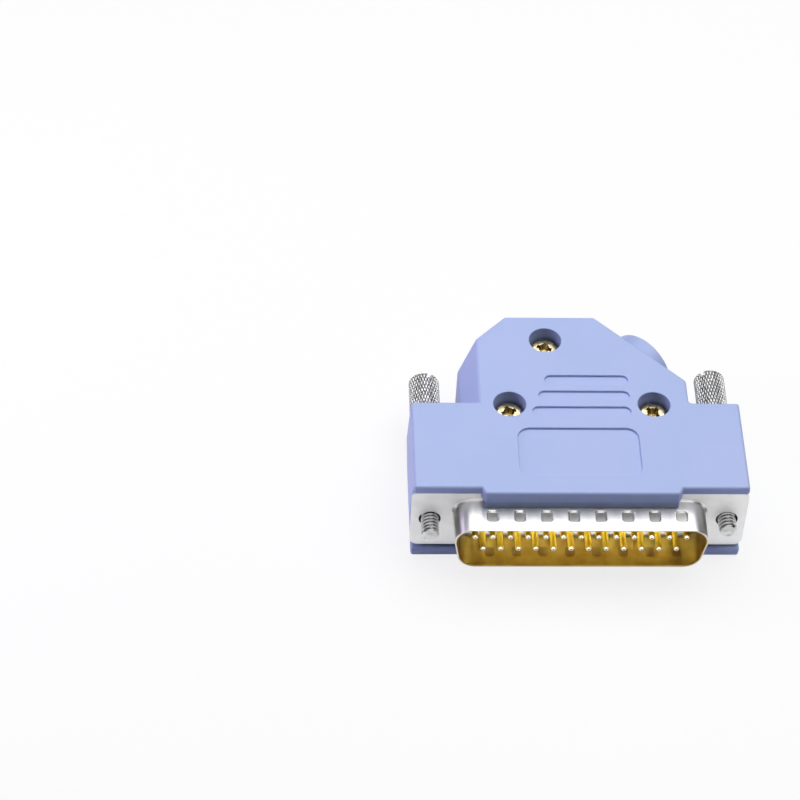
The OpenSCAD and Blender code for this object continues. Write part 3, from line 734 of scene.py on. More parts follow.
@dataclass
class FrontShell:
    """Drawn D skirt with its flange, grounding dents and folded tabs."""

    # Thickness of the sheet, and the inside of the D: corner radius, corner centres, lean of its ends
    sheet: float = 0.4
    corner: float = 2.6
    top_x: float = 16.88
    low_x: float = 16.32
    corner_z: float = 1.58
    lean: float = 10.0
    # How far the skirt stands out, its bend into the flange and the rounding of its rim
    depth: float = 6.1
    bend: float = 0.5
    rim: float = 0.17
    # Flange and its two thumbscrew holes
    flange_w: float = 53.04
    flange_h: float = 12.55
    flange_corner: float = 1.4
    hole_x: float = 23.52
    hole_r: float = 1.75
    # Dents in each long wall, the first and last counted from the lower corner centres
    dent_count: int = 8
    dent_left: float = 2.36
    dent_right: float = 0.66
    dent_corner: float = 0.6
    dent_w: float = 1.8
    dent_l: float = 2.3
    dent_depth: float = 0.32
    dent_ahead: float = 3.25
    dent_slope: float = 0.14
    # The softer bulge that a dent leaves inside, and where on the slope its floor begins
    bulge_slope: float = 0.8
    bulge_share: float = 0.35
    floor_share: float = 0.6
    # Angles from the top, round an upper corner, between which a dark reflection is painted on the tin
    streak_middle: float = 55.0
    streak_reach: float = 27.0
    # Spacing of the mesh on the walls and steps round its curves
    column: float = 0.13
    row: float = 0.13
    corner_steps: int = 18
    bend_steps: int = 6
    rim_steps: int = 4
    back_steps: int = 8
    flange_steps: int = 8
    hole_steps: int = 40
    # Tabs that fold over the rear shell
    tab_x: float = 20.82
    tab_w: float = 2.4
    tab_fold: float = 1.4
    # Largest angle that still shades smooth
    smooth_angle: float = 35.0

    def section(self) -> tuple[list[tuple[float, float]], int]:
        """Draw the sheet's section.

        Returns:
            Its corners, out from the inside of the D and ahead of the flange, and the number of the
            first corner on the inside.
        """
        out = self.sheet + self.bend
        straight = self.depth - self.rim - self.bend
        rows = round(straight / self.row)
        wall = [self.bend + straight * i / rows for i in range(1, rows)]
        front = arc((out, self.bend), self.bend, -90, -180, self.bend_steps)
        rim_out = arc((self.sheet - self.rim, self.depth - self.rim), self.rim, 0, 90, self.rim_steps)
        rim_in = arc((self.rim, self.depth - self.rim), self.rim, 90, 180, self.rim_steps)
        back = arc((out, self.bend), out, -180, -90, self.back_steps)
        outside = front + [(self.sheet, y) for y in wall] + rim_out
        return outside + rim_in + [(0.0, y) for y in reversed(wall)] + back, len(outside)

    def sweep(self, bm: BMesh) -> None:
        """Carry the section round the D: a spin at each corner, extrusions along each side.

        Args:
            bm: empty mesh that takes the skirt.
        """
        start = math.radians(-self.lean)
        inside = bm.verts.layers.int.new(INSIDE)
        section, turn_in = self.section()
        places = []
        for out, ahead in section:
            reach = self.corner + out
            places.append(mm(self.top_x + reach * math.cos(start), -ahead,
                             self.corner_z + reach * math.sin(start)))
        last = chain(bm, places)
        for vert in last[turn_in:len(section)]:
            vert[inside] = 1
        side_l = 2 * self.corner_z / math.cos(math.radians(self.lean))
        wide, tight = 90 + self.lean, 90 - self.lean
        # Centre of each corner, turn round it, length of the side that follows and its heading
        legs = [
            (self.top_x, self.corner_z, wide, 2 * self.top_x, 90.0),
            (-self.top_x, self.corner_z, wide, side_l, 90.0 + wide),
            (-self.low_x, -self.corner_z, tight, 2 * self.low_x, 270.0),
            (self.low_x, -self.corner_z, tight, side_l, 270.0 + tight),
        ]
        for x, z, turn, run, heading in legs:
            last = bmesh.ops.spin(bm, geom=last, cent=mm(x, 0, z), axis=(0, -1, 0),
                                  angle=math.radians(turn), steps=self.corner_steps)["geom_last"]
            columns = round(run / self.column)
            along = math.radians(heading)
            step = mm(-math.sin(along), 0, math.cos(along)) * run / columns
            for _ in range(columns):
                edges = [part for part in last if isinstance(part, BMEdge)]
                last = [part for part in bmesh.ops.extrude_edge_only(bm, edges=edges)["geom"]
                        if isinstance(part, (BMVert, BMEdge))]
                bmesh.ops.translate(bm, vec=step, verts=[part for part in last if isinstance(part, BMVert)])
        bmesh.ops.remove_doubles(bm, verts=bm.verts, dist=SWEEP_MERGE)

    def press_dents(self, bm: BMesh) -> None:
        """Press the dents into both long walls and mark their floors.

        Args:
            bm: mesh of the skirt.
        """
        pressed = bm.verts.layers.int.new(PRESSED)
        inside = bm.verts.layers.int[INSIDE]
        # Height, just below the inside of a long wall, beyond which a vertex lies on that wall
        long_wall = self.corner_z + self.corner - self.sheet / 4
        first = self.dent_left - self.low_x
        pitch = (2 * self.low_x - self.dent_left - self.dent_right) / (self.dent_count - 1)
        for vert in bm.verts:
            x, ahead = vert.co.x / MM, -vert.co.y / MM
            if abs(vert.co.z / MM) < long_wall:
                continue
            nearest = min(max(round((x - first) / pitch), 0), self.dent_count - 1)
            across = abs(x - first - nearest * pitch) - self.dent_w / 2 + self.dent_corner
            along = abs(ahead - self.dent_ahead) - self.dent_l / 2 + self.dent_corner
            edge = self.dent_corner - math.hypot(max(across, 0), max(along, 0)) - min(max(across, along), 0)
            if edge <= 0:
                continue
            vert[pressed] = int(edge > self.dent_slope * self.floor_share)
            share = min(1.0, edge / (self.bulge_slope if vert[inside] else self.dent_slope))
            depth = self.dent_depth * (self.bulge_share if vert[inside] else 1.0)
            vert.co.z -= math.copysign(depth * ease(share) * MM, vert.co.z)

    def paint_corner_streaks(self, bm: BMesh) -> None:
        """Mark where a dark reflection is painted on the tin, as a streak round each of the two upper
        corners.

        Args:
            bm: mesh of the skirt.
        """
        streak = bm.verts.layers.float.new(PAINTED_DARK)
        inside = bm.verts.layers.int[INSIDE]
        for vert in bm.verts:
            on_wall = self.bend < -vert.co.y / MM < self.depth - self.rim
            aside = abs(vert.co.x) / MM - self.top_x
            turn = math.degrees(math.atan2(aside, vert.co.z / MM - self.corner_z))
            if on_wall and not vert[inside]:
                vert[streak] = ease(max(0.0, 1 - abs(turn - self.streak_middle) / self.streak_reach))

    def outline(self, bm: BMesh, level: float) -> list[BMEdge]:
        """Draw the flange's outline with round corners.

        Args:
            bm: mesh that the outline joins.
            level: its place along Y, in metres.

        Returns:
            The edges of the outline.
        """
        plate = bmesh.new()
        place = Matrix.Translation((0, level, 0)) @ UPRIGHT
        size = Matrix.Diagonal((self.flange_w * MM, self.flange_h * MM, 1.0, 1.0))
        bmesh.ops.create_grid(plate, x_segments=1, y_segments=1, size=1 / 2, matrix=place @ size)
        bmesh.ops.bevel(plate, geom=plate.verts[:], offset=self.flange_corner * MM, offset_type="OFFSET",
                        segments=self.flange_steps, profile=0.5, affect="VERTICES", material=-1)
        copies = {vert: bm.verts.new(vert.co) for vert in plate.verts}
        edges = [bm.edges.new([copies[vert] for vert in edge.verts]) for edge in plate.edges]
        plate.free()
        return edges

    def flange(self, bm: BMesh) -> None:
        """Close the flange round the skirt: faces, sheared edges and thumbscrew holes.

        Args:
            bm: mesh of the skirt, open along its bend.
        """
        rings = []
        for level in (0.0, self.sheet * MM):
            skirt = [edge for edge in bm.edges if edge.is_boundary
                     and all(abs(vert.co.y - level) < NEAR for vert in edge.verts)]
            loops = [self.outline(bm, level)]
            for side in Side:
                place = Matrix.Translation((side.value * self.hole_x * MM, level, 0)) @ UPRIGHT
                hole = bmesh.ops.create_circle(bm, cap_ends=False, radius=self.hole_r * MM,
                                               segments=self.hole_steps, matrix=place)
                loops.append(list(dict.fromkeys(e for vert in hole["verts"] for e in vert.link_edges)))
            bmesh.ops.triangle_fill(bm, use_beauty=True, use_dissolve=False,
                                    edges=skirt + [edge for loop in loops for edge in loop])
            rings.append(loops)
        for front, back in zip(*rings):
            bmesh.ops.bridge_loops(bm, edges=front + back)

    def tabs(self, bm: BMesh) -> None:
        """Add the four tabs that fold over the rear shell, each a wall and its fold.

        Args:
            bm: mesh of the shell.
        """
        top = self.flange_h / 2
        # The rear shell's flange, of the same sheet, lies between this flange and the fold
        back = 3 * self.sheet
        wall = (self.sheet, top - self.sheet), (back, top)
        fold = (2 * self.sheet, top - self.tab_fold), (back, top - self.sheet)
        for sx in (-1, 1):
            for sz in (-1, 1):
                for low, high in (wall, fold):
                    size = mm(self.tab_w, high[0] - low[0], high[1] - low[1])
                    place = mm(sx * self.tab_x, (low[0] + high[0]) / 2, sz * (low[1] + high[1]) / 2)
                    add_box(bm, size, Matrix.Translation(place))

    def build(self) -> Object:
        """Make the shell and dress it: tin outside, amber inside, dent floors in painted shade, a browner
        film on the bulges inside.

        Returns:
            The finished shell.
        """
        bm = bmesh.new()
        self.sweep(bm)
        bmesh.ops.recalc_face_normals(bm, faces=bm.faces)
        self.press_dents(bm)
        self.paint_corner_streaks(bm)
        self.flange(bm)
        bmesh.ops.recalc_face_normals(bm, faces=bm.faces)
        inside, pressed = (bm.verts.layers.int[name] for name in (INSIDE, PRESSED))
        wall = TIN_PLATE, AMBER_PASSIVATION
        floor = DENT_SHADE_TIN, BULGE_FILM
        finishes = [TIN_PLATE, DENT_SHADE_TIN, AMBER_PASSIVATION, BULGE_FILM, FLANGE_TIN]
        for face in bm.faces:
            # Dent floors take painted shade outside, and a browner film on the bulges inside
            pair = floor if all(vert[pressed] for vert in face.verts) else wall
            finish = pair[all(vert[inside] for vert in face.verts)]
            # The flange's face takes the tin whose tone is painted lighter
            if all(abs(vert.co.y) < MERGE for vert in face.verts):
                finish = FLANGE_TIN
            face.material_index = finishes.index(finish)
        self.tabs(bm)
        shade_by_angle(bm, self.smooth_angle)
        piece = make_piece("front_shell_drawn", bm, Body.PLUG, finishes, ["front_shell"])
        even_normals(piece)
        return piece


@dataclass
class ContactSet:
    """Turned contacts: round-nosed pins, locking collars and solder cups."""

    # Contacts in the upper and the lower row, and their spacing
    long_row: int = 13
    short_row: int = 12
    pitch: float = 2.77
    row_pitch: float = 2.84
    # Pin ahead of the flange, and the small hole in its tip
    pin_r: float = 0.5
    nose: float = 0.3
    reach: float = 5.08
    hole_r: float = 0.15
    hole_depth: float = 0.35
    # Collar and solder cup behind the flange
    collar_r: float = 0.95
    collar_front: float = 2.0
    collar_back: float = 3.4
    cup_r: float = 0.75
    cup_bore: float = 0.525
    cup_floor: float = 7.6
    cup_open: float = 7.9
    cup_end: float = 11.2
    soft: float = 0.06
    # Reach of the painted shade in the tip's hole and of the painted highlight on the nose, as a share of
    # the hole and of the nose
    hole_spare: float = 1.1
    nose_share: float = 0.75
    # Faces along and round the curves, and the largest angle that still shades smooth
    nose_steps: int = 7
    steps: int = 28
    smooth_angle: float = 35.0

    def outline(self) -> list[tuple[float, float]]:
        """Draw a contact's outline.

        Returns:
            Radius of each corner and its height, counted back from the flange face.
        """
        tip = -self.reach
        return [
            (0.0, tip + self.hole_depth), (self.hole_r, tip + self.hole_depth), (self.hole_r, tip),
            *arc((self.pin_r - self.nose, tip + self.nose), self.nose, -90, 0, self.nose_steps),
            (self.pin_r, self.collar_front), (self.collar_r - self.soft, self.collar_front),
            (self.collar_r, self.collar_front + self.soft), (self.collar_r, self.collar_back - self.soft),
            (self.collar_r - self.soft, self.collar_back), (self.cup_r, self.collar_back),
            (self.cup_r, self.cup_end - self.soft), (self.cup_r - self.soft, self.cup_end),
            (self.cup_bore, self.cup_end), (self.cup_bore, self.cup_floor), (0.0, self.cup_floor),
        ]

    def open_cup(self, bm: BMesh, x: float, z: float, lift: float) -> BMesh:
        """Cut away the side of a solder cup that faces out.

        Args:
            bm: mesh of the contact, which is used up.
            x: place of its axis.
            z: height of its axis.
            lift: how far the middle of the cut stands above the axis.

        Returns:
            The contact with its cup open.
        """
        tool = bmesh.new()
        size = mm(4 * self.cup_r, self.cup_end - self.cup_open + self.cup_r, 2 * self.cup_r)
        middle = mm(x, (self.cup_open + self.cup_end + self.cup_r) / 2, z + lift)
        add_box(tool, size, Matrix.Translation(middle))
        return carve(bm, tool)

    def mark_nose(self, bm: BMesh, tip: Vector, finishes: Sequence[Finish]) -> None:
        """Mark the faces of a pin's nose for a painted highlight, and of the hole in it for painted shade.

        Args:
            bm: mesh of the contact.
            tip: point of its axis at the tip.
            finishes: finishes of the contact.
        """
        for face in bm.faces:
            offset = face.calc_center_median() - tip
            in_bore = math.hypot(offset.x, offset.z) < self.hole_r * self.hole_spare * MM
            if in_bore and offset.y < self.hole_depth * self.hole_spare * MM:
                face.material_index = finishes.index(HOLE_SHADE)
            elif offset.y < self.nose * self.nose_share * MM:
                face.material_index = finishes.index(NOSE_HIGHLIGHT)

    def build(self) -> list[Object]:
        """Make a contact at each place and dress it.

        Returns:
            The finished contacts, the upper row first.
        """
        finishes = [GOLD_FLASH, NOSE_HIGHLIGHT, HOLE_SHADE]
        pieces = []
        for count, up in ((self.long_row, 1), (self.short_row, -1)):
            for column in range(count):
                x = (column - (count - 1) / 2) * self.pitch
                z = up * self.row_pitch / 2
                bm = bmesh.new()
                spun(bm, self.outline(), mm(x, 0, z), Vector((0, 1, 0)), self.steps)
                bm = self.open_cup(bm, x, z, up * self.cup_r)
                self.mark_nose(bm, mm(x, -self.reach, z), finishes)
                shade_by_angle(bm, self.smooth_angle)
                node = f"contact_{len(pieces) + 1:02d}"
                pieces.append(make_piece(node + "_turned", bm, Body.PLUG, finishes, [node]))
        return pieces


@dataclass
class HoodScrew:
    """Pan-head screw with a cross recess, down in its well."""

    place: ScrewPlace
    # Height at which the head sits on the floor of its well
    seat: float = 4.675
    # Head with its domed rim, and shank with its point
    head_r: float = 2.35
    head_h: float = 1.75
    dome: float = 0.6
    edge: float = 0.12
    shank_r: float = 1.3
    length: float = 11.7
    point: float = 0.3
    # Cross recess: its two bars, the cone in its middle and how far they narrow
    cross_w: float = 1.0
    cross_l: float = 3.4
    cross_depth: float = 1.15
    cone_r: float = 1.25
    taper: float = 0.45
    # Depths below the top between which a face belongs to the recess
    recess_skin: float = 0.02
    recess_end: float = 1.2
    # Faces along and round the curves, and the largest angle that still shades smooth
    dome_steps: int = 8
    cone_steps: int = 24
    steps: int = 48
    smooth_angle: float = 35.0

    @property
    def top(self) -> Vector:
        """Middle of the head's top, in millimetres."""
        return Vector((self.place.x, self.place.y, self.seat + self.head_h))

    def build(self) -> Object:
        """Make the screw, cut its recess and dress it.

        Returns:
            The finished screw.
        """
        bm = bmesh.new()
        centre = self.head_r - self.dome, self.head_h - self.dome
        outline = [(0.0, self.head_h), *arc(centre, self.dome, 90, 0, self.dome_steps),
                   (self.head_r, self.edge), (self.head_r - self.edge, 0.0), (self.shank_r, 0.0),
                   (self.shank_r, self.point - self.length), (self.shank_r - self.point, -self.length),
                   (0.0, -self.length)]
        spun(bm, outline, mm(self.place.x, self.place.y, self.seat), Vector((0, 0, 1)), self.steps)
        for tool in (self.bar(0), self.bar(90), self.cone()):
            bm = carve(bm, tool)
        finishes = [SCREW_ZINC, RECESS_ZINC]
        # Faces of the recess take the finish with patches of painted shade
        for face in bm.faces:
            offset = face.calc_center_median() / MM - self.top
            in_depth = self.recess_skin < -offset.z < self.recess_end
            if in_depth and math.hypot(offset.x, offset.y) < self.cross_l / 2:
                face.material_index = finishes.index(RECESS_ZINC)
        shade_by_angle(bm, self.smooth_angle)
        node = "hood_screw_" + self.place.name
        return make_piece(node + "_pan_head", bm, Body.PLUG, finishes, [node])

    def bar(self, quarter: float) -> BMesh:
        """Make one tapered bar of the cross.

        Args:
            quarter: its turn from the first bar.

        Returns:
            The bar as a cutting tool.
        """
        tool = bmesh.new()
        add_box(tool, Vector((self.cross_l, self.cross_w, 2 * self.cross_depth)), Matrix())
        low = [vert for vert in tool.verts if vert.co.z < 0]
        bmesh.ops.scale(tool, vec=(self.taper, self.taper, 1.0), verts=low)
        turn = Matrix.Rotation(math.radians(self.place.turn + quarter), 4, "Z")
        place = Matrix.Scale(MM, 4) @ Matrix.Translation(self.top) @ turn
        bmesh.ops.transform(tool, matrix=place, verts=tool.verts)
        return tool

    def cone(self) -> BMesh:
        """Make the cone in the middle of the recess, its wide end above the head.

        Returns:
            The cone as a cutting tool.
        """
        tool = bmesh.new()
        place = Matrix.Scale(MM, 4) @ Matrix.Translation(self.top)
        bmesh.ops.create_cone(tool, cap_ends=True, segments=self.cone_steps, depth=2 * self.cross_depth,
                              radius1=self.taper * self.cone_r, radius2=self.cone_r, matrix=place)
        return tool


@dataclass
class Thumbscrew:
    """Captive screw: rolled thread, plain shank with a ring groove, knurled and slotted head.

    Heights are counted back from the tip.
    """

    side: Side
    # Place of the tip along Y, and turn of the slot
    tip: float
    slot_turn: float
    axis_x: float = 23.52
    # Rolled thread, with half the width of its crest and of its root as a share of the pitch
    thread_r: float = 1.42
    root_r: float = 1.12
    thread_pitch: float = 0.635
    thread_l: float = 8.0
    half_land: float = 0.08
    chamfer: float = 0.22
    # Plain shank, its ring groove and how far it runs into thread and head
    shank_r: float = 1.6
    groove_r: float = 1.0
    groove_start: float = 14.01
    groove_end: float = 14.81
    overlap: float = 0.2
    # Head, its slot and its knurl: grooves round it, their spacing along it, depth, half width as a share
    head_start: float = 21.21
    head_end: float = 32.61
    head_r: float = 2.5
    head_chamfer: float = 0.5
    slot_w: float = 0.9
    slot_depth: float = 1.2
    knurl_count: int = 30
    knurl_l: float = 1.5
    knurl_depth: float = 0.14
    knurl_groove: float = 0.16
    # Mesh steps for each knurl groove, each turn of the thread and round the shank
    knurl_samples: int = 8
    turn_steps: int = 24
    shank_steps: int = 40
    # Largest angles that still shade smooth
    thread_smooth: float = 25.0
    shank_smooth: float = 35.0
    head_smooth: float = 8.0

    @property
    def foot(self) -> Vector:
        """Point of the axis at the screw's tip."""
        return mm(self.side.value * self.axis_x, self.tip, 0)

    def height(self, vert: BMVert) -> float:
        """Height of a vertex above the tip, in millimetres."""
        return (vert.co.y - self.foot.y) / MM

    def radius(self, vert: BMVert) -> float:
        """Distance of a vertex from the axis, in millimetres."""
        return math.hypot(vert.co.x - self.foot.x, vert.co.z) / MM

    def set_radius(self, vert: BMVert, radius: float) -> None:
        """Move a vertex straight in or out from the axis.

        Args:
            vert: the vertex.
            radius: its new distance from the axis.
        """
        across = Vector((vert.co.x - self.foot.x, 0, vert.co.z))
        if across.length > MERGE:
            vert.co += across.normalized() * radius * MM - across

    def thread(self) -> BMesh:
        """Sweep one ridge of the thread round the axis, cut both ends and close them.

        Returns:
            The closed thread.
        """
        bm = bmesh.new()
        pitch, land = self.thread_pitch, self.half_land
        # Corners of one ridge: radius, and height as a share of the pitch
        ridge = [(self.root_r, -1.0), (self.root_r, land - 1.0), (self.thread_r, -0.5 - land),
                 (self.thread_r, land - 0.5), (self.root_r, -land), (self.root_r, 0.0)]
        line = chain(bm, [self.foot + mm(radius, share * pitch, 0) for radius, share in ridge])
        turns = math.ceil(self.thread_l / pitch) + 1
        bmesh.ops.spin(bm, geom=line, cent=self.foot, axis=(0, 1, 0), angle=FULL_TURN * turns,
                       dvec=mm(0, pitch / self.turn_steps, 0), steps=self.turn_steps * turns)
        bmesh.ops.remove_doubles(bm, verts=bm.verts, dist=SWEEP_MERGE)
        for level, outwards in ((0.0, -1), (self.thread_l, 1)):
            everything = bm.verts[:] + bm.edges[:] + bm.faces[:]
            bmesh.ops.bisect_plane(bm, geom=everything, plane_co=self.foot + mm(0, level, 0),
                                   plane_no=(0, outwards, 0), clear_outer=True)
        bmesh.ops.holes_fill(bm, edges=[edge for edge in bm.edges if edge.is_boundary], sides=0)
        for vert in bm.verts:
            limit = self.thread_r - self.chamfer + self.height(vert)
            if self.radius(vert) > limit:
                self.set_radius(vert, limit)
        return bm

    def shank(self) -> BMesh:
        """Turn the plain shank with its ring groove.

        Returns:
            The closed shank.
        """
        bm = bmesh.new()
        start = self.thread_l - self.overlap
        end = self.head_start + self.overlap
        outline = [(0.0, start), (self.root_r, start), (self.shank_r, self.thread_l + self.chamfer),
                   (self.shank_r, self.groove_start), (self.groove_r, self.groove_start),
                   (self.groove_r, self.groove_end), (self.shank_r, self.groove_end),
                   (self.shank_r, end), (0.0, end)]
        spun(bm, outline, self.foot, Vector((0, 1, 0)), self.shank_steps)
        return bm

    def groove(self, turns: float) -> float:
        """Depth of a knurl's groove, 0 to 1, at a count of grooves from the first one."""
        return max(0.0, 1 - abs(turns - round(turns)) / self.knurl_groove)

    def knurl(self, bm: BMesh, rows: int, columns: int) -> None:
        """Press two sets of slanted grooves into the head's grid and taper its ends.

        Args:
            bm: open grid of the head.
            rows: its faces along the axis.
            columns: its faces round the axis.
        """
        depth = bm.verts.layers.float.new(PAINTED_DARK)
        length = self.head_end - self.head_start
        valleys = []
        for vert in bm.verts:
            height = self.height(vert)
            along = round((height - self.head_start) / length * rows) / self.knurl_samples
            angle = math.atan2(vert.co.z, vert.co.x - self.foot.x)
            around = round(angle / FULL_TURN * columns) / self.knurl_samples
            cuts = self.groove(around + along), self.groove(around - along)
            # Painted shade in the grooves: half along one groove, full where two cross
            vert[depth] = sum(cuts) / 2
            end = min(height - self.head_start, self.head_end - height)
            limit = self.head_r - self.head_chamfer + end
            self.set_radius(vert, min(limit, self.head_r - self.knurl_depth * max(cuts)))
            if max(cuts) == 1.0:
                valleys.append(vert)
        bmesh.ops.connect_verts(bm, verts=valleys)

    def head(self) -> BMesh:
        """Turn the head as a fine grid, knurl it, close it and cut its slot.

        Returns:
            The closed head.
        """
        bm = bmesh.new()
        length = self.head_end - self.head_start
        rows = round(self.knurl_samples * length / self.knurl_l)
        columns = self.knurl_samples * self.knurl_count
        line = chain(bm, [self.foot + mm(self.head_r, self.head_start + length * i / rows, 0)
                          for i in range(rows + 1)])
        bmesh.ops.spin(bm, geom=line, cent=self.foot, axis=(0, 1, 0), angle=FULL_TURN, steps=columns,
                       use_merge=True)
        bmesh.ops.remove_doubles(bm, verts=bm.verts, dist=SWEEP_MERGE)
        self.knurl(bm, rows, columns)
        bmesh.ops.holes_fill(bm, edges=[edge for edge in bm.edges if edge.is_boundary], sides=0)
        bmesh.ops.recalc_face_normals(bm, faces=bm.faces)
        tool = bmesh.new()
        end = Matrix.Translation(self.foot + mm(0, self.head_end, 0))
        turn = Matrix.Rotation(math.radians(self.slot_turn), 4, "Y")
        add_box(tool, mm(self.slot_w, 2 * self.slot_depth, 3 * self.head_r), end @ turn)
        return carve(bm, tool)

    def build(self) -> Object:
        """Make the screw from its three lengths and dress it.

        Returns:
            The finished screw.
        """
        name = "thumbscrew_" + self.side.name.lower()
        body = Body.LEFT_THUMBSCREW if self.side is Side.LEFT else Body.RIGHT_THUMBSCREW
        whole = bmesh.new()
        whole.verts.layers.float.new(PAINTED_DARK)
        for part, angle in ((self.thread(), self.thread_smooth), (self.shank(), self.shank_smooth),
                            (self.head(), self.head_smooth)):
            bmesh.ops.recalc_face_normals(part, faces=part.faces)
            shade_by_angle(part, angle)
            mesh = bpy.data.meshes.new("part")
            part.to_mesh(mesh)
            part.free()
            whole.from_mesh(mesh)
            bpy.data.meshes.remove(mesh)
        # Painted shade on the thread, deepest at the root between the ridges
        depth = whole.verts.layers.float.get(PAINTED_DARK)
        for vert in whole.verts:
            if self.chamfer < self.height(vert) < self.thread_l:
                share = (self.thread_r - self.radius(vert)) / (self.thread_r - self.root_r)
                vert[depth] = min(1.0, max(0.0, share))
        finishes = [THREAD_NICKEL, KNURL_NICKEL]
        for face in whole.faces:
            in_head = all(self.height(vert) > self.groove_end for vert in face.verts)
            face.material_index = finishes.index(KNURL_NICKEL if in_head else THREAD_NICKEL)
        return make_piece(name + "_knurled", whole, body, finishes, [name])


@dataclass
class HexNut:
    """Hex nut in the lower half, its corners taken off."""

    node: str
    corner_round: float = 0.16
    round_steps: int = 2
    edge_angle: float = 30.0
    smooth_angle: float = 40.0

    def build(self) -> Object:
        """Make the nut from its CAD solid, round its edges and dress it.

        Returns:
            The finished nut.
        """
        bm = merged_copy(self.node)
        limit = math.radians(self.edge_angle)
        edges = [edge for edge in bm.edges if edge.is_manifold and edge.calc_face_angle_signed(0.0) > limit]
        round_edges(bm, edges, self.corner_round, self.round_steps, clamp=True)
        shade_by_angle(bm, self.smooth_angle)
        piece = make_piece(self.node + "_chamfered", bm, Body.PLUG, [SCREW_ZINC], [self.node])
        even_normals(piece)
        return piece


@dataclass
class KeptPieces:
    """CAD pieces that are right as they are and only need their finish."""

    finishes: dict[str, Finish] = field(default_factory=lambda: {
        "front_insulator": INSULATOR_PBT,
        "rear_insulator": INSULATOR_PBT,
        "rear_shell": ZINC_PLATE,
        "clamp_bar_upper": ZINC_PLATE,
        "clamp_bar_lower": ZINC_PLATE,
        "clamp_screw_left": SCREW_ZINC,
        "clamp_screw_right": SCREW_ZINC,
        "ring_left": SPRING_STEEL,
        "ring_right": SPRING_STEEL,
    })

    def dress(self) -> None:
        """Give each kept CAD node its material."""
        for node, finish in self.finishes.items():
            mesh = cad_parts[node].data
            mesh.materials.clear()
            mesh.materials.append(PAINT.of(finish))
            log.info("%s: CAD solid kept, %s", node, finish.name)


@dataclass(frozen=True)
class Softbox:
    """Soft rectangular lamp, with a grid where its spread is narrow."""

    name: str
    place: Point
    aim: Point
    size: Point
    watts: float
    spread: float = 180.0
    tint: str = "#ffffff"

    def hang(self) -> None:
        """Hang the lamp in the scene."""
        data = bpy.data.lights.new(self.name, "AREA")
        data.shape = "RECTANGLE"
        data.size, data.size_y = (width * MM for width in self.size)
        data.energy = self.watts
        data.color = linear(self.tint)[:3]
        data.spread = math.radians(self.spread)
        lamp = bpy.data.objects.new(self.name, data)
        gaze = mm(*self.aim) - mm(*self.place)
        turn = gaze.to_track_quat("-Z", "Y").to_matrix().to_4x4()
        lamp.matrix_world = Matrix.Translation(mm(*self.place)) @ turn
        bpy.context.scene.collection.objects.link(lamp)


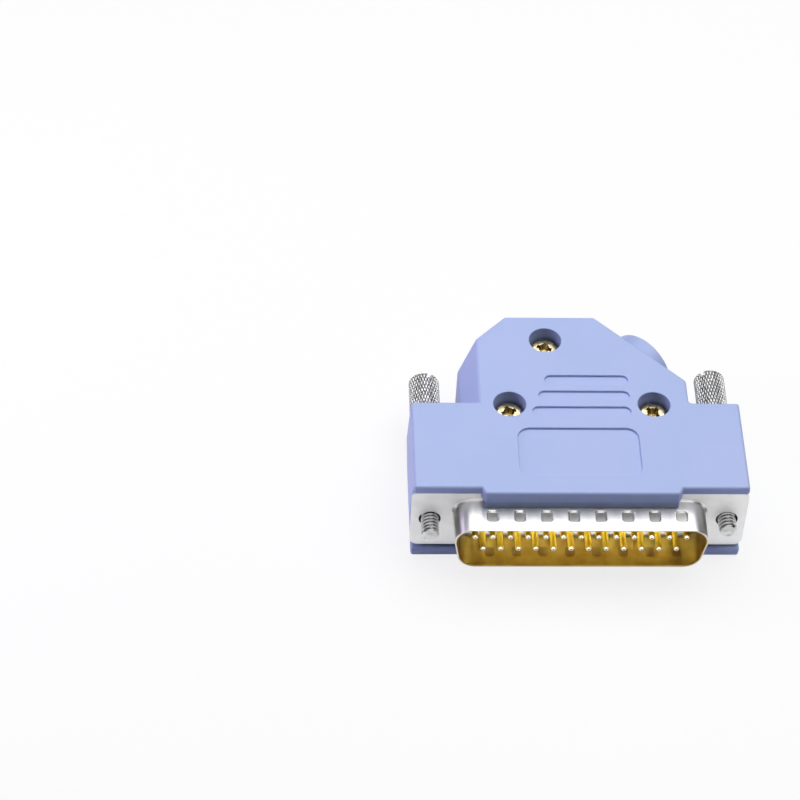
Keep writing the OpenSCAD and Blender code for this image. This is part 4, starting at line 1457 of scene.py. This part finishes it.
@dataclass
class Studio:
    """Pale floor, soft lights and the camera of the photograph."""

    # Camera: its angles, its lens in pixels of the picture, and where the origin lies seen from it
    elevation: float = 47.962
    azimuth: float = -3.912
    roll: float = 3.126
    focal_px: float = 2997.7
    image_px: float = 800.0
    sensor: float = 36.0
    shift_x: float = 28.16
    shift_y: float = 18.76
    distance: float = 472.95
    clip_start: float = 10.0
    # Even fill of the room, and how bright mirrors see the horizon, the front card and the side flags
    world_diffuse: float = 0.03
    horizon: float = 0.03
    horizon_top: float = 20.0
    dome_start: float = 40.0
    card: float = 0.9
    card_edge: float = 60.0
    card_full: float = 30.0
    flag: float = 0.05
    flag_edge: float = 32.0
    flag_full: float = 58.0
    # Floor, its colours for other surfaces, for mirrors and for the eye, and how far its shadow is filled
    floor_z: float = -8.385
    floor_size: float = 4000.0
    floor_bounce: str = "#e6e4ff"
    floor_mirrored: str = "#f4f4f4"
    floor_seen: str = "#ffffff"
    shadow_fill: float = 0.82
    lamps: Sequence[Softbox] = (
        Softbox("overhead_softbox", place=(70, 110, 420), aim=(0, 10, 0), size=(600, 420), watts=2.3),
        Softbox("tinted_fill", place=(-250, 60, 110), aim=(0, 15, 0), size=(120, 120), watts=0.118,
                spread=120.0, tint="#ebd9ff"),
        Softbox("gridded_strip", place=(0, -80, 19), aim=(0, -3, 0), size=(34, 4), watts=0.0012,
                spread=5.0),
    )

    def camera(self) -> None:
        """Place the camera as the photograph's was found to stand."""
        el, az, roll = (math.radians(angle) for angle in (self.elevation, self.azimuth, self.roll))
        back = Vector((math.sin(az) * math.cos(el), -math.cos(az) * math.cos(el), math.sin(el)))
        ahead = -back
        right = ahead.cross(Vector((0, 0, 1))).normalized()
        down = ahead.cross(right)
        across = math.cos(roll) * right - math.sin(roll) * down
        below = math.sin(roll) * right + math.cos(roll) * down
        place = -(across * self.shift_x + below * self.shift_y + ahead * self.distance)
        data = bpy.data.cameras.new("photo_camera")
        data.sensor_width = self.sensor
        data.lens = self.focal_px / self.image_px * self.sensor
        data.clip_start = self.clip_start * MM
        camera = bpy.data.objects.new("photo_camera", data)
        turn = Matrix((across, -below, back)).transposed().to_4x4()
        camera.matrix_world = Matrix.Translation(place * MM) @ turn
        bpy.context.scene.collection.objects.link(camera)
        bpy.context.scene.camera = camera

    def mirror_ray(self, tree: NodeTree, path: bpy.types.Node) -> Socket:
        """Tell rays that the eye sees in a mirror from all others.

        Args:
            tree: node tree that asks.
            path: its light path node.

        Returns:
            1 for a mirrored ray that has met no matt surface, else 0.
        """
        straight = add_node(tree, "ShaderNodeMath", {"operation": "LESS_THAN"}, {
            0: path.outputs["Diffuse Depth"], 1: HALF_BOUNCE})
        return add_node(tree, "ShaderNodeMath", {"operation": "MULTIPLY"}, {
            0: path.outputs["Is Glossy Ray"], 1: straight.outputs[0]}).outputs[0]

    def board(self) -> Material:
        """Make the matt white board of the floor, its shadow lifted for the eye and for mirrors.

        Returns:
            The board's material.
        """
        material, tree = empty_material("matt_white_board")
        path = add_node(tree, "ShaderNodeLightPath")
        mirrored = self.mirror_ray(tree, path)
        dim = add_node(tree, "ShaderNodeMix", {"data_type": "RGBA"}, {
            "Factor": mirrored, COLOUR_A: linear(self.floor_bounce), COLOUR_B: linear(self.floor_mirrored)})
        colour = add_node(tree, "ShaderNodeMix", {"data_type": "RGBA"}, {
            "Factor": path.outputs["Is Camera Ray"], COLOUR_A: dim.outputs[COLOUR_OUT],
            COLOUR_B: linear(self.floor_seen)})
        matt = add_node(tree, "ShaderNodeBsdfDiffuse", inputs={"Color": colour.outputs[COLOUR_OUT]})
        white = add_node(tree, "ShaderNodeEmission", inputs={"Color": linear(self.floor_seen)})
        seen = add_node(tree, "ShaderNodeMath", {"operation": "MAXIMUM"}, {
            0: path.outputs["Is Camera Ray"], 1: mirrored})
        fill = add_node(tree, "ShaderNodeMath", {"operation": "MULTIPLY"}, {
            0: seen.outputs[0], 1: self.shadow_fill})
        shader = add_node(tree, "ShaderNodeMixShader", inputs={
            0: fill.outputs[0], 1: matt.outputs["BSDF"], 2: white.outputs["Emission"]})
        add_node(tree, "ShaderNodeOutputMaterial", inputs={"Surface": shader.outputs["Shader"]})
        return material

    def floor(self) -> None:
        """Lay the pale floor that takes the shadow."""
        bm = bmesh.new()
        bmesh.ops.create_grid(bm, x_segments=1, y_segments=1, size=self.floor_size / 2 * MM,
                              matrix=Matrix.Translation(mm(0, 0, self.floor_z)))
        floor = to_object("floor", bm)
        floor.data.materials.append(self.board())

    def world(self) -> None:
        """Hang a white dome over a dark horizon, with a white card in front and black flags at the sides.

        Only mirrors see them. The eye sees plain white, and surfaces get a weak even fill.
        """
        world = bpy.data.worlds.new("studio")
        world.use_nodes = True
        tree = world.node_tree
        tree.nodes.clear()
        path = add_node(tree, "ShaderNodeLightPath")
        aim = add_node(tree, "ShaderNodeTexCoord").outputs["Generated"]
        heading = add_node(tree, "ShaderNodeSeparateXYZ", inputs={"Vector": aim})
        card = add_node(tree, "ShaderNodeMapRange", inputs={
            "Value": heading.outputs["Y"], "From Min": -math.cos(math.radians(self.card_edge)),
            "From Max": -math.cos(math.radians(self.card_full)), "To Min": 0.0, "To Max": self.card})
        dome = add_node(tree, "ShaderNodeMapRange", inputs={
            "Value": heading.outputs["Z"], "From Min": math.sin(math.radians(self.horizon_top)),
            "From Max": math.sin(math.radians(self.dome_start)), "To Min": self.horizon, "To Max": 1.0})
        side = add_node(tree, "ShaderNodeMath", {"operation": "ABSOLUTE"}, {0: heading.outputs["X"]})
        flags = add_node(tree, "ShaderNodeMapRange", inputs={
            "Value": side.outputs[0], "From Min": math.sin(math.radians(self.flag_edge)),
            "From Max": math.sin(math.radians(self.flag_full)), "To Min": 1.0, "To Max": self.flag})
        flagged = add_node(tree, "ShaderNodeMath", {"operation": "MULTIPLY"}, {
            0: dome.outputs["Result"], 1: flags.outputs["Result"]})
        bright = add_node(tree, "ShaderNodeMath", {"operation": "MAXIMUM"}, {
            0: flagged.outputs[0], 1: card.outputs["Result"]})
        mirrored = add_node(tree, "ShaderNodeMix", {"data_type": "FLOAT"}, {
            "Factor": self.mirror_ray(tree, path), NUMBER_A: self.world_diffuse,
            NUMBER_B: bright.outputs[0]})
        strength = add_node(tree, "ShaderNodeMix", {"data_type": "FLOAT"}, {
            "Factor": path.outputs["Is Camera Ray"], NUMBER_A: mirrored.outputs[NUMBER_OUT],
            NUMBER_B: 1.0})
        shade = add_node(tree, "ShaderNodeBackground", inputs={
            "Color": linear("#ffffff"), "Strength": strength.outputs[NUMBER_OUT]})
        add_node(tree, "ShaderNodeOutputWorld", inputs={"Surface": shade.outputs["Background"]})
        bpy.context.scene.world = world

    def build(self) -> None:
        """Set up the whole studio."""
        bpy.context.scene.view_settings.view_transform = "Standard"
        self.camera()
        self.floor()
        self.world()
        for lamp in self.lamps:
            lamp.hang()


def build_plug() -> None:
    """Build the plug's pieces in order and dress them."""
    HoodHalf("hood_top", other="hood_bottom").build()
    HoodHalf("hood_bottom", other="hood_top").build()
    FrontShell().build()
    ContactSet().build()
    for place in SCREW_PLACES:
        HoodScrew(place).build()
        HexNut("hood_nut_" + place.name).build()
    Thumbscrew(Side.LEFT, tip=-3.4, slot_turn=23).build()
    Thumbscrew(Side.RIGHT, tip=-2.5, slot_turn=-37).build()
    KeptPieces().dress()


def main() -> None:
    """Build the plug and its studio."""
    logging.basicConfig(level=logging.INFO, format="%(message)s")
    build_plug()
    Studio().build()


if __name__ == "__main__":
    main()
